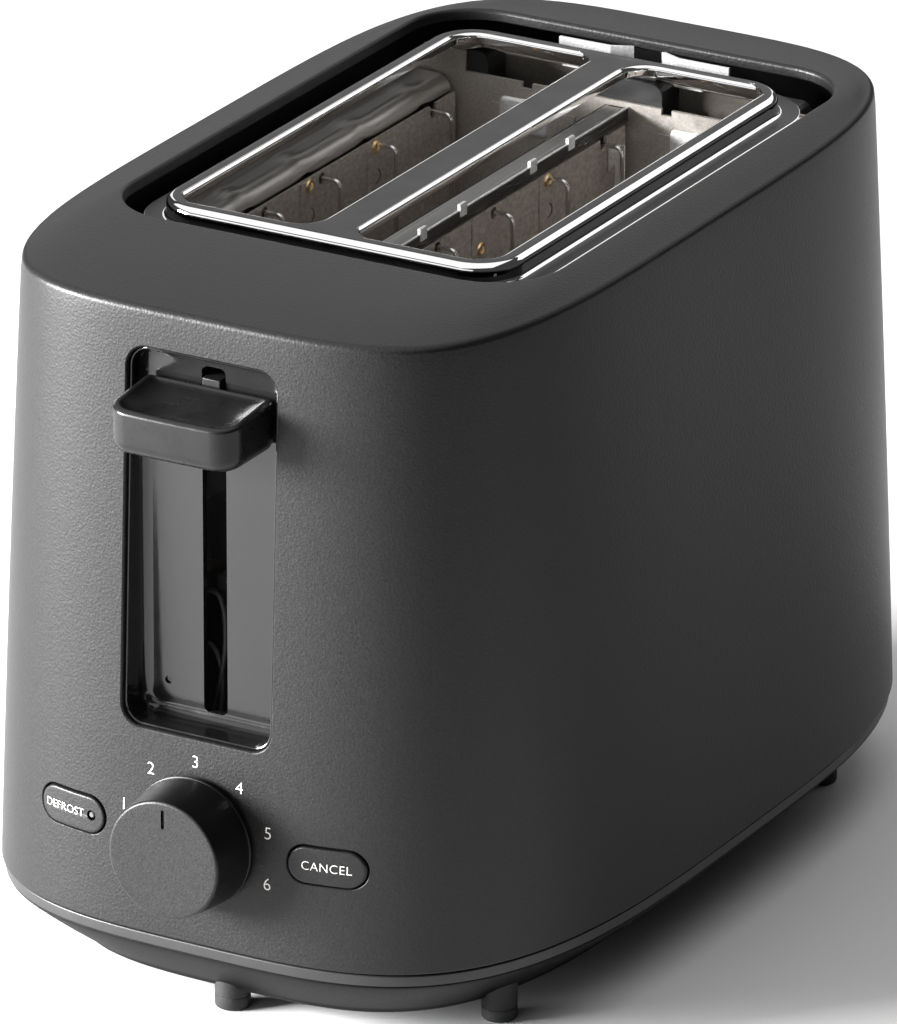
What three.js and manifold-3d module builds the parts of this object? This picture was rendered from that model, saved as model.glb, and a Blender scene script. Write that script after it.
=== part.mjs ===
// Two-slot pop-up toaster, as separate pieces. Millimetres, +Z up, and the front face looks along -Y.
// Each piece is made around the middle of the housing, and the whole group is then moved along Y, so that the
// origin lies on the ground under the middle of the object's box.
import * as THREE from "three";
import { mergeVertices } from "three/addons/utils/BufferGeometryUtils.js";
import Module from "manifold-3d";

const wasm = await Module();
wasm.setup();

// ---- Driving dimensions ----

const GAP = 0.3; // air between two pieces that touch
const OUTLINE_STEPS = 40; // points round a housing section
const ARC_STEPS = 4; // steps in a quarter turn of a rounded corner

const HOUSING = {
  seamZ: 24,
  creaseZ: 182.3,
  rimZ: 184.5,
  wall: 2.5,
  chamfer: 1.2,
  seam: { halfX: 83.4, halfY: 128.6, power: 3.44 },
  crease: { halfX: 72, halfY: 121.3, power: 4.3 },
};
const RIM = { halfX: 59.1, frontY: -72.5, backY: 98.7, radius: 18, land: 1.5 };
const WINDOW = { halfX: 20.7, lowZ: 76.3, highZ: 172.3, radius: 5.5 };
const RECESS = {
  backY: -116.3,
  thick: 2,
  margin: 6.3,
  slitHalfX: 3.45,
  slitLowZ: 79.4,
  slitHighZ: 168.6,
};
const BASE = { topZ: 23.4, bandZ: 20.4, bottomZ: 5.25, inset: 0.8, taper: 17.2, power: 1.1, wall: 2.5 };
const FOOT = {
  radius: 4.4,
  round: 1.2,
  topZ: 9,
  places: [[0, -109.2], [-59.5, -83], [59.5, -83], [-59.5, 83], [59.5, 83]],
};
const BOSS = { radius: 4.5, topZ: 44, places: [[-46, -88.5], [46, -88.5], [-62, 95], [62, 95]] };
// The chassis floor stands on these.
const POST = { radius: 3.5, places: [[-56, -74], [56, -74], [-56, 76], [56, 76]] };
const SCREW = { headRadius: 3.2, headHeight: 2.1, headZ: 14, radius: 1.75, endZ: 38 };

const COVER = {
  halfX: 48.7,
  frontY: -65.7,
  backY: 84.6,
  radius: 12,
  topZ: 185.1,
  fillet: 2,
  sheet: 0.8,
  brimZ: 180.2,
  brim: 5.5,
};
const SLOT = { innerX: 5.57, outerX: 43.57, frontY: -60.7, backY: 79.7, radius: 6, lip: 2.7 };
const CLIP = { y: 95, fromX: 9.5, toX: 24.3, bentX: 4, bentY: 97.3, lowZ: 177, topZ: 182.2, sheet: 0.8 };

const SHEET = 1; // steel sheet of the chassis
const CHASSIS = {
  halfX: 61,
  floorZ: 18,
  frontY: -66.2,
  rearY: 81.5,
  topZ: 173.5,
  earTopZ: 179,
  sideX: 60,
};
const FLANGE = { z: 168.6, innerX: 47.2, ribs: 5, ribRadius: 1.4 };
const BOARD = {
  outerX: 46,
  innerX: 3,
  thick: 0.8,
  frontY: -62,
  backY: 79.5,
  lowZ: 21,
  topZ: 168.3,
  hole: 1.6,
};
const BRACKET = { halfX: 3.3, lowZ: 168.7, topZ: 172.5, tabs: [-42, -22.5, -2.8, 32.3, 51.6], tab: 4.5 };
const GUARD = {
  reach: 5.7,
  wire: 0.6,
  pivotZ: 46,
  barZ: 108,
  hookZ: 166.6,
  firstY: -43.4,
  pitch: 27.9,
  count: 5,
  shift: 7,
};
const SHIELD = { y: 92, halfX: 56, lowZ: 30, topZ: 176 };
const SPACERS = { left: [-50, -38], centre: [-12, 12], right: [38, 50] };

const LEVER = {
  halfX: 17.5,
  lowZ: 150.9,
  highZ: 162.2,
  rise: 2,
  frontY: -138.5,
  backY: -118,
  radius: 5,
  edge: 1.5,
  dish: 1.6,
};
const ARM = { halfX: 2.5, lowZ: 155, tongueZ: 160, highZ: 165.8, frontY: -132, stepY: -121.9 };
const CARRIAGE = { y: -84, sheet: 1.2, halfX: 30, lowZ: 104, shoulderZ: 144, stemHalfX: 8, topZ: 167 };
const ROD = { x: 20, y: -92, radius: 2, topZ: 172 };
const BUSH = { halfX: 5, lowZ: 124, highZ: 140, bore: 2.35 };
const SPRING = { x: 9, radius: 3.2, topZ: 171.7, hookZ: 138 };
const LIFTER = {
  x: 24.57,
  sheet: 1,
  lowZ: 98,
  highZ: 108,
  backY: 86,
  fingers: 6,
  fingerHalfX: 10,
  fingerWidth: 7,
};
const MAGNET = { halfX: 9, frontY: -100, backY: -87, poleZ: 35.7 };

const CONTROLS_X = 0.45; // the middle of the row of the knob and the two buttons
const KNOB = {
  z: 50.9,
  radius: 16.5,
  draft: 1.3,
  edge: 0.9,
  backY: -128.3,
  faceY: -142.2,
  bore: 3.3,
  boreDepth: 10.5,
};
const POINTER = { halfWidth: 0.45, lowZ: 8.6, highZ: 13.2, depth: 0.6 };
const POT = { bodyRadius: 8, shaftRadius: 3, backY: -110, frontY: -118, tipY: -138.2 };
const BUTTON = {
  offset: 35.35,
  z: 50.5,
  halfLength: 9.75,
  halfHeight: 4.6,
  clearance: 0.4,
  proud: 0.4,
  backY: -119.5,
  stemY: -116.4,
};
const LIGHT = { x: -28.9, radius: 1.35, clearance: 0.3, frontY: -127.2 };
const CONTROL = {
  y: -109.7,
  thick: 1.6,
  halfX: 47,
  lowZ: 33,
  highZ: 66,
  switchHalf: 3,
  switchDepth: 4.5,
};

const TRAY = { halfX: 50.5, frontY: -62, backY: 108, lowZ: 9.9, highZ: 14.9, sheet: 1, faceZ: 17.1 };
const GLAND = {
  z: 34,
  bore: 3.6,
  neck: 6.7,
  flange: 9.2,
  innerY: 123.5,
  wallY: 128.8,
  backY: 132.1,
  hole: 7.1,
};

const ORIGIN_SHIFT_Y = -(KNOB.faceY + GLAND.backY) / 2;

// ---- Materials ----

const finish = (color, roughness, metalness = 0) =>
  new THREE.MeshStandardMaterial({ color, roughness, metalness });
const MATERIALS = {
  housing: finish(0x2e2f30, 0.6),
  base: finish(0x2a2b2c, 0.62),
  gloss: finish(0x17181a, 0.15),
  satin: finish(0x1d1e20, 0.35),
  foot: finish(0x262626, 0.8),
  chrome: finish(0xd8dadc, 0.12, 1),
  steel: finish(0xb4b2ad, 0.35, 1),
  mica: finish(0x8a7f74, 0.7),
  dark: finish(0x151515, 0.6),
  board: finish(0x2c5a38, 0.5),
  copper: finish(0xa65a2e, 0.4, 0.6),
  clear: finish(0xe8e8e4, 0.3),
};

// ---- Solids ----

// A closed three.js geometry as a manifold-3d solid.
function solid(geometry) {
  const bare = new THREE.BufferGeometry();
  bare.setAttribute("position", geometry.getAttribute("position"));
  if (geometry.index) bare.setIndex(geometry.index);
  const merged = mergeVertices(bare, 1e-4);
  return new wasm.Manifold(
    new wasm.Mesh({
      numProp: 3,
      vertProperties: merged.getAttribute("position").array,
      triVerts: new Uint32Array(merged.index.array),
    }),
  );
}

// A manifold-3d solid as a three.js geometry.
function geometryOf(body) {
  const { numProp, vertProperties, triVerts } = body.getMesh();
  const positions = new Float32Array((vertProperties.length / numProp) * 3);
  for (let i = 0; i < positions.length / 3; i++) {
    for (let k = 0; k < 3; k++) positions[3 * i + k] = vertProperties[numProp * i + k];
  }
  const geometry = new THREE.BufferGeometry();
  geometry.setAttribute("position", new THREE.BufferAttribute(positions, 3));
  geometry.setIndex(new THREE.BufferAttribute(new Uint32Array(triVerts), 1));
  return geometry.toNonIndexed();
}

const join = (...bodies) => bodies.reduce((sum, body) => sum.add(body));
const cut = (body, ...tools) => tools.reduce((rest, tool) => rest.subtract(tool), body);

function box([x0, y0, z0], [x1, y1, z1]) {
  const geometry = new THREE.BoxGeometry(x1 - x0, y1 - y0, z1 - z0);
  return solid(geometry.translate((x0 + x1) / 2, (y0 + y1) / 2, (z0 + z1) / 2));
}

// A box that is the same on both sides of the plane X = centreX.
const slab = (halfX, [y0, z0], [y1, z1], centreX = 0) =>
  box([centreX - halfX, y0, z0], [centreX + halfX, y1, z1]);

// Where a flat drawing's own X, Y and depth point to in each view of the toaster.
const VIEWS = {
  plan: [new THREE.Vector3(1, 0, 0), new THREE.Vector3(0, 1, 0), new THREE.Vector3(0, 0, 1)],
  front: [new THREE.Vector3(1, 0, 0), new THREE.Vector3(0, 0, 1), new THREE.Vector3(0, -1, 0)],
  side: [new THREE.Vector3(0, 1, 0), new THREE.Vector3(0, 0, 1), new THREE.Vector3(1, 0, 0)],
};

// Extrudes a drawing along the axis its view looks down, from one coordinate on that axis to another.
function extrude(shape, view, from, to) {
  const options = { depth: to - from, bevelEnabled: false, curveSegments: ARC_STEPS };
  const geometry = new THREE.ExtrudeGeometry(shape, options);
  const [right, up, depth] = VIEWS[view];
  geometry.applyMatrix4(new THREE.Matrix4().makeBasis(right, up, depth));
  const start = view === "front" ? -to : from;
  return solid(geometry.translate(depth.x * start, depth.y * start, depth.z * start));
}

// Points round a rectangle with rounded corners, anticlockwise.
function roundedPoints(x0, y0, x1, y1, radius) {
  const corners = [
    [x1 - radius, y1 - radius],
    [x0 + radius, y1 - radius],
    [x0 + radius, y0 + radius],
    [x1 - radius, y0 + radius],
  ];
  return corners.flatMap(([x, y], quarter) =>
    Array.from({ length: ARC_STEPS + 1 }, (_, i) => {
      const angle = (Math.PI / 2) * (quarter + i / ARC_STEPS);
      return new THREE.Vector2(x + radius * Math.cos(angle), y + radius * Math.sin(angle));
    }),
  );
}

const roundedShape = (...sizes) => new THREE.Shape(roundedPoints(...sizes));
const shapeThrough = (points) => new THREE.Shape(points.map(([x, y]) => new THREE.Vector2(x, y)));
const rectangle = (x0, y0, x1, y1) => shapeThrough([[x0, y0], [x1, y0], [x1, y1], [x0, y1]]);
const raise = (points, z) => points.map((point) => new THREE.Vector3(point.x, point.y, z));

// A solid through a stack of rings, which run anticlockwise and climb.
function loft(rings) {
  const count = rings[0].length;
  const points = rings.flat();
  const index = [];
  const capCentre = (ring) => {
    const centre = ring.reduce((sum, point) => sum.clone().add(point), new THREE.Vector3());
    return points.push(centre.divideScalar(count)) - 1;
  };
  const bottom = capCentre(rings[0]);
  const top = capCentre(rings.at(-1));
  const lastRing = (rings.length - 1) * count;
  for (let i = 0; i < count; i++) {
    const j = (i + 1) % count;
    for (let low = 0; low < lastRing; low += count) {
      const high = low + count;
      index.push(low + i, low + j, high + j, low + i, high + j, high + i);
    }
    index.push(bottom, j, i, top, lastRing + i, lastRing + j);
  }
  const geometry = new THREE.BufferGeometry().setFromPoints(points);
  geometry.setIndex(index);
  return solid(geometry);
}

// A turned solid from its closed profile of [radius, height] points, about the axis asked for.
function turned(profile, axis = "z", sides = 32) {
  const points = profile.map(([radius, height]) => new THREE.Vector2(radius, height));
  const geometry = new THREE.LatheGeometry(points, sides);
  if (axis === "z") geometry.rotateX(Math.PI / 2);
  if (axis === "x") geometry.rotateZ(-Math.PI / 2);
  return solid(geometry);
}

// A plain round bar along an axis through a point, from one coordinate on that axis to another.
function bar(radius, axis, [x, y, z], from, to, sides = 20) {
  const profile = [[0, from], [radius, from], [radius, to], [0, to]];
  const shifts = { x: [0, y, z], y: [x, 0, z], z: [x, y, 0] };
  return turned(profile, axis, sides).translate(shifts[axis]);
}

// A wire through points that lie in one flat plane, with mitred bends.
function wire(points, radius, planeNormal, sides = 5) {
  const rings = points.map((point, k) => {
    const before = point.clone().sub(points[Math.max(k - 1, 0)]).normalize();
    const after = points[Math.min(k + 1, points.length - 1)].clone().sub(point).normalize();
    const along = before.clone().add(after).normalize();
    const across = new THREE.Vector3().crossVectors(planeNormal, along);
    const stretch = 1 / Math.max(along.dot(k === 0 ? after : before), 0.5);
    return Array.from({ length: sides }, (_, i) => {
      const angle = (2 * Math.PI * i) / sides;
      const offset = across.clone().multiplyScalar(radius * stretch * Math.cos(angle));
      return point.clone().add(offset).addScaledVector(planeNormal, -radius * Math.sin(angle));
    });
  });
  const body = loft(rings);
  return body.volume() < 0 ? loft(rings.map((ring) => ring.slice().reverse())) : body;
}

// ---- Housing sections ----

// The housing's section at a height: its half sizes and power run evenly from the seam to the crease.
function sectionAt(z) {
  const share = (z - HOUSING.seamZ) / (HOUSING.creaseZ - HOUSING.seamZ);
  const between = (key) => THREE.MathUtils.lerp(HOUSING.seam[key], HOUSING.crease[key], share);
  return { halfX: between("halfX"), halfY: between("halfY"), power: between("power") };
}

// A ring of points round a superellipse, pulled in by an inset.
function outline({ halfX, halfY, power }, z, inset = 0, middleY = 0) {
  return Array.from({ length: OUTLINE_STEPS }, (_, i) => {
    const angle = (2 * Math.PI * i) / OUTLINE_STEPS;
    const curve = (value) => Math.sign(value) * Math.abs(value) ** (2 / power);
    const x = (halfX - inset) * curve(Math.cos(angle));
    return new THREE.Vector3(x, middleY + (halfY - inset) * curve(Math.sin(angle)), z);
  });
}

const housingRing = (z, inset = 0) => outline(sectionAt(z), z, inset);

// Everything inside the housing's outer surface.
function housingOutside() {
  const { seamZ, creaseZ, chamfer, rimZ } = HOUSING;
  const rim = { halfX: RIM.halfX + RIM.land, halfY: (RIM.backY - RIM.frontY) / 2 + RIM.land, power: 6.5 };
  return loft([
    housingRing(seamZ),
    housingRing(creaseZ - chamfer),
    outline(HOUSING.crease, creaseZ, chamfer / 2),
    outline(rim, rimZ, 0, (RIM.backY + RIM.frontY) / 2),
  ]);
}

// Everything inside the housing's inner surface, kept clear of it by a margin.
function housingInside(margin = 0, lowZ = HOUSING.seamZ - 2) {
  const inset = HOUSING.wall + margin;
  return loft([housingRing(lowZ, inset), housingRing(HOUSING.creaseZ - inset, inset)]);
}

const buttonX = (side) => CONTROLS_X + side * BUTTON.offset;

const windowShape = (grow) =>
  roundedShape(
    -WINDOW.halfX - grow,
    WINDOW.lowZ - grow,
    WINDOW.halfX + grow,
    WINDOW.highZ + grow,
    WINDOW.radius + grow,
  );

function buttonShape(side, grow) {
  const x = buttonX(side);
  const halfLength = BUTTON.halfLength + grow;
  const halfHeight = BUTTON.halfHeight + grow;
  const radius = halfHeight - 0.01;
  return roundedShape(x - halfLength, BUTTON.z - halfHeight, x + halfLength, BUTTON.z + halfHeight, radius);
}

function makeOuterHousing() {
  const { frontY, backY, halfX, radius } = RIM;
  const bosses = BOSS.places.map(([x, y]) => {
    const wallX = Math.sign(x) * HOUSING.seam.halfX;
    const web = box([Math.min(x, wallX), y - 1, HOUSING.seamZ], [Math.max(x, wallX), y + 1, BOSS.topZ]);
    return join(bar(BOSS.radius, "z", [x, y, 0], HOUSING.seamZ, BOSS.topZ, 10), web);
  });
  const shell = cut(housingOutside(), housingInside());
  const braced = join(shell, ...bosses.map((boss) => boss.intersect(housingOutside())));
  return cut(
    braced,
    extrude(roundedShape(-halfX, frontY, halfX, backY, radius), "plan", 150, 200),
    extrude(windowShape(0), "front", -140, -100),
    bar(POT.shaftRadius + 1.5, "y", [CONTROLS_X, 0, KNOB.z], -140, -100),
    extrude(buttonShape(-1, BUTTON.clearance), "front", -140, -100),
    extrude(buttonShape(1, BUTTON.clearance), "front", -140, -100),
    bar(GLAND.hole, "y", [0, 0, GLAND.z], 100, 140, 18),
    ...BOSS.places.map(([x, y]) => bar(SCREW.radius + GAP, "z", [x, y, 0], 0, BOSS.topZ - 4, 8)),
  );
}

// ---- Base, feet and crumb tray ----

// How far the base's side has come in at a height, along a rounded taper.
function baseInset(z) {
  const { bandZ, bottomZ, taper, power, inset } = BASE;
  const share = Math.max(0, (bandZ - z) / (bandZ - bottomZ));
  return inset + taper * share ** power;
}

const BASE_LEVELS = [BASE.bottomZ, 8, 15, 18.5, BASE.bandZ, BASE.topZ];

function baseOutside() {
  return loft(BASE_LEVELS.map((z) => outline(HOUSING.seam, z, baseInset(z))));
}

function baseInside() {
  const floorZ = BASE.bottomZ + BASE.wall;
  const levels = [floorZ, 13, BASE.topZ + 1];
  const insetAt = (z) => baseInset(Math.min(z - 1.5, BASE.topZ)) + BASE.wall;
  return loft(levels.map((z) => outline(HOUSING.seam, z, insetAt(z))));
}

function makeBaseShell() {
  const floorZ = BASE.bottomZ + BASE.wall;
  const posts = POST.places.map(([x, y]) =>
    bar(POST.radius, "z", [x, y, 0], floorZ - 1, CHASSIS.floorZ - GAP, 12),
  );
  const sleeves = BOSS.places.map(([x, y]) =>
    bar(BOSS.radius, "z", [x, y, 0], floorZ - 2, HOUSING.seamZ - GAP, 10).intersect(baseOutside()),
  );
  const pockets = FOOT.places.map(([x, y]) => bar(FOOT.radius + GAP, "z", [x, y, 0], 0, FOOT.topZ + GAP, 12));
  const roofs = FOOT.places.map(([x, y]) =>
    bar(FOOT.radius + 2, "z", [x, y, 0], floorZ - 2, FOOT.topZ + 2, 10).intersect(baseOutside()),
  );
  const screwHoles = BOSS.places.map(([x, y]) =>
    join(
      bar(SCREW.radius + GAP, "z", [x, y, 0], 0, HOUSING.seamZ + 1, 8),
      bar(SCREW.headRadius + GAP, "z", [x, y, 0], 0, SCREW.headZ + SCREW.headHeight, 12),
    ),
  );
  const mouth = slab(TRAY.halfX + 1.2, [60, TRAY.lowZ - 0.4], [140, TRAY.faceZ + 0.4]);
  const vents = [-1, 1].flatMap((side) =>
    [0, 1, 2, 3, 4].map((k) => box([side * 18 - 12, 7 * k - 94, 0], [side * 18 + 12, 7 * k - 91, 9.5])),
  );
  return cut(
    join(cut(baseOutside(), baseInside()), ...posts, ...sleeves, ...roofs),
    ...pockets,
    ...screwHoles,
    mouth,
    ...vents,
  );
}

function makeFoot([x, y]) {
  const { radius, round, topZ } = FOOT;
  const edge = [[radius - round, 0], [radius - round * 0.3, round * 0.3], [radius, round]];
  const profile = [[0, 0], ...edge, [radius, topZ], [0, topZ]];
  return turned(profile, "z", 14).translate([x, y, 0]);
}

function makeBaseScrew([x, y]) {
  const { headRadius, headHeight, headZ, radius, endZ } = SCREW;
  const neckZ = headZ + headHeight - GAP;
  const head = [[0, headZ], [headRadius, headZ], [headRadius, neckZ]];
  const profile = [...head, [radius, neckZ], [radius, endZ - 1], [0, endZ]];
  const driverSlot = slab(0.4, [-headRadius, headZ - 1], [headRadius, headZ + 0.8]);
  const slotted = cut(turned(profile, "z", 12), driverSlot);
  return slotted.translate([x, y, 0]);
}

function makeCrumbTray() {
  const { halfX, frontY, backY, lowZ, highZ, sheet, faceZ } = TRAY;
  const pan = cut(
    slab(halfX, [frontY, lowZ], [backY + 4, highZ]),
    slab(halfX - sheet, [frontY + sheet, lowZ + sheet], [backY, highZ + 1]),
  );
  const face = slab(halfX + 0.8, [backY + 2, lowZ], [140, faceZ]).intersect(baseOutside());
  const grip = bar(9, "x", [0, 132, lowZ - 5.5], -16, 16, 24);
  return cut(join(pan, face), grip);
}

// ---- Top cover and clips ----

function coverRing(z, grow) {
  const { halfX, frontY, backY, radius } = COVER;
  return raise(roundedPoints(-halfX - grow, frontY - grow, halfX + grow, backY + grow, radius + grow), z);
}

function slotShape(side, grow) {
  const { innerX, outerX, frontY, backY, radius } = SLOT;
  const [x0, x1] = side < 0 ? [-outerX, -innerX] : [innerX, outerX];
  return roundedShape(x0 - grow, frontY - grow, x1 + grow, backY + grow, radius + grow);
}

function makeTopCover() {
  const { topZ, fillet, sheet, brimZ, brim } = COVER;
  const hat = loft([
    coverRing(brimZ - sheet, 0),
    coverRing(topZ - fillet, 0),
    coverRing(topZ - fillet * 0.3, -fillet * 0.3),
    coverRing(topZ, -fillet),
  ]);
  const hollow = loft([
    coverRing(brimZ - 2, -sheet),
    coverRing(topZ - fillet, -sheet),
    coverRing(topZ - sheet, -fillet),
  ]);
  const flange = loft([coverRing(brimZ - sheet, brim), coverRing(brimZ, brim)]);
  const shell = cut(join(hat, flange), hollow);
  const lips = [-1, 1].map((side) =>
    extrude(slotShape(side, sheet), "plan", topZ - SLOT.lip, topZ - sheet / 2),
  );
  const openings = [-1, 1].map((side) => extrude(slotShape(side, 0), "plan", topZ - SLOT.lip - 1, topZ + 1));
  return cut(join(shell, ...lips), ...openings);
}

function makeCoverClip(side) {
  const { y, fromX, toX, bentX, bentY, lowZ, topZ, sheet } = CLIP;
  const inner = [[toX, y], [fromX, y], [bentX, bentY]];
  const path = [...inner, [bentX + 0.5, bentY + sheet], [fromX + 0.4, y + sheet], [toX, y + sheet]];
  const strip = new THREE.Shape(path.map(([x, v]) => new THREE.Vector2(side * x, v)));
  const [footLowX, footHighX] = side > 0 ? [12, 20] : [-20, -12];
  const foot = box([footLowX, SHIELD.y - 3, lowZ], [footHighX, y + sheet, lowZ + sheet]);
  return join(extrude(strip, "plan", lowZ, topZ), foot);
}

// ---- Chassis ----

const liftSlit = (side, y0, y1) => box([side * LIFTER.x - 1.7, y0, 28], [side * LIFTER.x + 1.7, y1, 124]);

function guardPlaces() {
  const { outerX, innerX } = BOARD;
  return [
    { name: "bread_guard_left_outer", boardX: -outerX, towards: 1, shift: 0 },
    { name: "bread_guard_left_inner", boardX: -innerX, towards: -1, shift: GUARD.shift },
    { name: "bread_guard_right_inner", boardX: innerX, towards: 1, shift: 0 },
    { name: "bread_guard_right_outer", boardX: outerX, towards: -1, shift: GUARD.shift },
  ];
}

const guardYs = (shift) =>
  Array.from({ length: GUARD.count }, (_, i) => GUARD.firstY + GUARD.pitch * i - shift);

function endPlate(y, rear) {
  const { halfX, floorZ, topZ, earTopZ } = CHASSIS;
  const lowZ = floorZ + SHEET + GAP;
  const ears = [-1, 1].map((side) => slab(6, [y, topZ - 5], [y + SHEET, earTopZ], side * 50));
  const notchXs = rear ? [-26, -12, 14, 33] : [-24, 24];
  const notches = notchXs.map((x) => slab(1.5, [y - 1, topZ - 1.6], [y + 2, topZ + 1], x));
  const pivots = guardPlaces().map(({ boardX, towards }) =>
    bar(GUARD.wire + 0.6, "y", [boardX + towards * GUARD.reach, 0, GUARD.pivotZ], y - 1, y + 2, 8),
  );
  const pads = rear ? [-24, 24].map((x) => slab(12, [y - 0.8, 140], [y + 0.1, 167], x)) : [];
  return cut(
    join(slab(halfX, [y, lowZ], [y + SHEET, topZ]), ...ears, ...pads),
    ...notches,
    ...pivots,
    liftSlit(-1, y - 2, y + 2),
    liftSlit(1, y - 2, y + 2),
  );
}

function makeChassisFloor() {
  const { halfX, floorZ, frontY, rearY } = CHASSIS;
  const middle = slab(halfX, [frontY - 15, floorZ], [rearY + 7, floorZ + SHEET]);
  const sheet = join(middle, slab(50, [frontY - 40, floorZ], [rearY + 14, floorZ + SHEET]));
  const drops = [-1, 1].map((side) => slab(20, [frontY + 8, 0], [rearY - 5, 40], side * 27));
  const screwHoles = BOSS.places.map(([x, y]) =>
    bar(BOSS.radius + GAP, "z", [x, y, 0], 0, HOUSING.seamZ, 10),
  );
  return cut(sheet, ...drops, ...screwHoles, slab(14, [frontY - 42, 0], [frontY - 30, 40], 0));
}

function makeSidePanel(side) {
  const { sideX, floorZ, frontY, rearY } = CHASSIS;
  const y0 = frontY + SHEET + GAP;
  const y1 = rearY - 0.8 - GAP;
  const drawing = new THREE.Shape(
    [
      [sideX, floorZ + SHEET + GAP],
      [sideX, FLANGE.z + SHEET * 0.8],
      [FLANGE.innerX, FLANGE.z + SHEET * 0.8],
      [FLANGE.innerX, FLANGE.z],
      [sideX - SHEET, FLANGE.z],
      [sideX - SHEET, floorZ + SHEET + GAP],
    ].map(([x, z]) => new THREE.Vector2(side * x, z)),
  );
  const pitch = (y1 - y0) / FLANGE.ribs;
  const ribs = Array.from({ length: FLANGE.ribs }, (_, i) => {
    const axis = [0, y0 + pitch * (i + 0.5), FLANGE.z + 0.3];
    const rib = bar(FLANGE.ribRadius, "x", axis, FLANGE.innerX + 1.5, sideX - 1.5, 8);
    return side > 0 ? rib : rib.mirror([1, 0, 0]);
  });
  return join(extrude(drawing, "front", y0, y1), ...ribs);
}

function makeHeaterBoard({ boardX, shift }) {
  const { thick, frontY, backY, lowZ, topZ, hole } = BOARD;
  const sheet = rectangle(frontY, lowZ, backY, topZ);
  const body = extrude(sheet, "side", boardX - thick / 2, boardX + thick / 2);
  const holeZ = GUARD.hookZ - 0.2;
  const holes = guardYs(shift).map((y) => bar(hole, "x", [0, y, holeZ], boardX - 2, boardX + 2, 8));
  const keyhole = (y) => box([boardX - 2, y - 1.6, GUARD.hookZ - 0.2], [boardX + 2, y + 1.6, topZ + 1]);
  return cut(body, ...holes, ...guardYs(shift).slice(-1).map(keyhole));
}

function makeCentreBracket() {
  const { halfX, lowZ, topZ, tabs, tab } = BRACKET;
  const y0 = CHASSIS.frontY + SHEET + GAP;
  const y1 = CHASSIS.rearY - GAP;
  const roof = slab(halfX, [y0, lowZ], [y1, topZ]);
  const channel = slab(halfX - 0.8, [y0 - 1, lowZ - 1], [y1 + 1, topZ - 0.8]);
  const footZ = CHASSIS.floorZ + SHEET + GAP;
  const posts = [[y0, y0 + 2], [y1 - 1, y1]].map(([low, high]) => slab(2, [low, footZ], [high, topZ]));
  const flaps = tabs.flatMap((y) =>
    [-1, 1].map((side) => slab(0.4, [y - tab / 2, topZ - 2.4], [y + tab / 2, topZ + 2], side * halfX)),
  );
  return join(cut(roof, channel), ...posts, ...flaps);
}

function makeRearHeatShield() {
  const { y, halfX, lowZ, topZ } = SHIELD;
  const foot = slab(halfX, [y - 6, lowZ], [y + 0.8, lowZ + 0.8]);
  return join(slab(halfX, [y, lowZ], [y + 0.8, topZ]), foot);
}

function makeCoverSpacer([x0, x1]) {
  const y0 = CHASSIS.rearY + SHEET + GAP;
  const drawing = roundedShape(x0, 162, x1, CHASSIS.earTopZ, 3);
  return extrude(drawing, "front", y0, SHIELD.y - GAP);
}

// ---- Bread guards ----

function makeBreadGuard({ boardX, towards, shift }) {
  const { reach, wire: radius, pivotZ, barZ, hookZ } = GUARD;
  const wireX = boardX + towards * reach;
  const tipX = boardX - towards * 5;
  const bend = 2;
  const ys = guardYs(shift);
  const uprights = ys.map((y) => {
    const path = [
      [tipX, hookZ],
      [wireX - towards * bend, hookZ],
      [wireX, hookZ - bend],
      [wireX, pivotZ],
    ].map(([x, z]) => new THREE.Vector3(x, y, z));
    return wire(path, radius, new THREE.Vector3(0, 1, 0));
  });
  const pivot = bar(radius, "y", [wireX, 0, pivotZ], CHASSIS.frontY - 2, CHASSIS.rearY + SHEET + 2, 6);
  const brace = bar(radius, "y", [wireX, 0, barZ], ys[0] - 3, ys.at(-1) + 3, 6);
  return join(...uprights, pivot, brace);
}

// ---- Lever, carriage and lift ----

function makeRecessPanel() {
  const { backY, thick, margin, slitHalfX, slitLowZ, slitHighZ } = RECESS;
  const plate = extrude(windowShape(margin), "front", backY, backY + thick);
  const walls = cut(
    extrude(windowShape(1.8), "front", -140, backY + 0.1),
    extrude(windowShape(0), "front", -150, backY),
  );
  const slit = roundedShape(-slitHalfX, slitLowZ, slitHalfX, slitHighZ, 1);
  return cut(join(plate, walls).intersect(housingInside(GAP)), extrude(slit, "front", -130, -100));
}

// The lever's thumb piece. Its dished top climbs towards the back, where a notch takes the arm.
function makeLeverKnob() {
  const { halfX, lowZ, highZ, rise, frontY, backY, radius, edge, dish } = LEVER;
  const slope = rise / (backY - frontY);
  const ring = (z, inset, climb) => {
    const sides = halfX - inset;
    const front = roundedPoints(-sides, frontY + inset, sides, backY + radius, radius - inset);
    return front.map(({ x, y }) => {
      const depth = Math.min(y, backY);
      return new THREE.Vector3(x, depth, z + climb * (depth - frontY));
    });
  };
  const low = [[lowZ, edge], [lowZ + edge * 0.3, edge * 0.3], [lowZ + edge, 0]];
  const high = [[highZ - edge, 0], [highZ - edge * 0.3, edge * 0.3], [highZ, edge]];
  const block = loft([
    ...low.map(([z, inset]) => ring(z, inset, 0)),
    ...high.map(([z, inset]) => ring(z, inset, slope)),
  ]);
  const middleY = (frontY + backY) / 2 - 1;
  const dome = new THREE.SphereGeometry(1, 16, 8).scale(halfX - 4, 6.2, dish);
  const hollow = solid(dome.rotateX(Math.atan(slope)));
  const socket = slab(ARM.halfX + GAP, [ARM.frontY - GAP, ARM.lowZ - GAP], [backY + 1, ARM.tongueZ + GAP]);
  const notch = slab(ARM.halfX + GAP, [ARM.stepY - GAP, ARM.lowZ - GAP], [backY + 1, highZ + 10]);
  return cut(block, hollow.translate([0, middleY, highZ + slope * (middleY - frontY)]), socket, notch);
}

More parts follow.
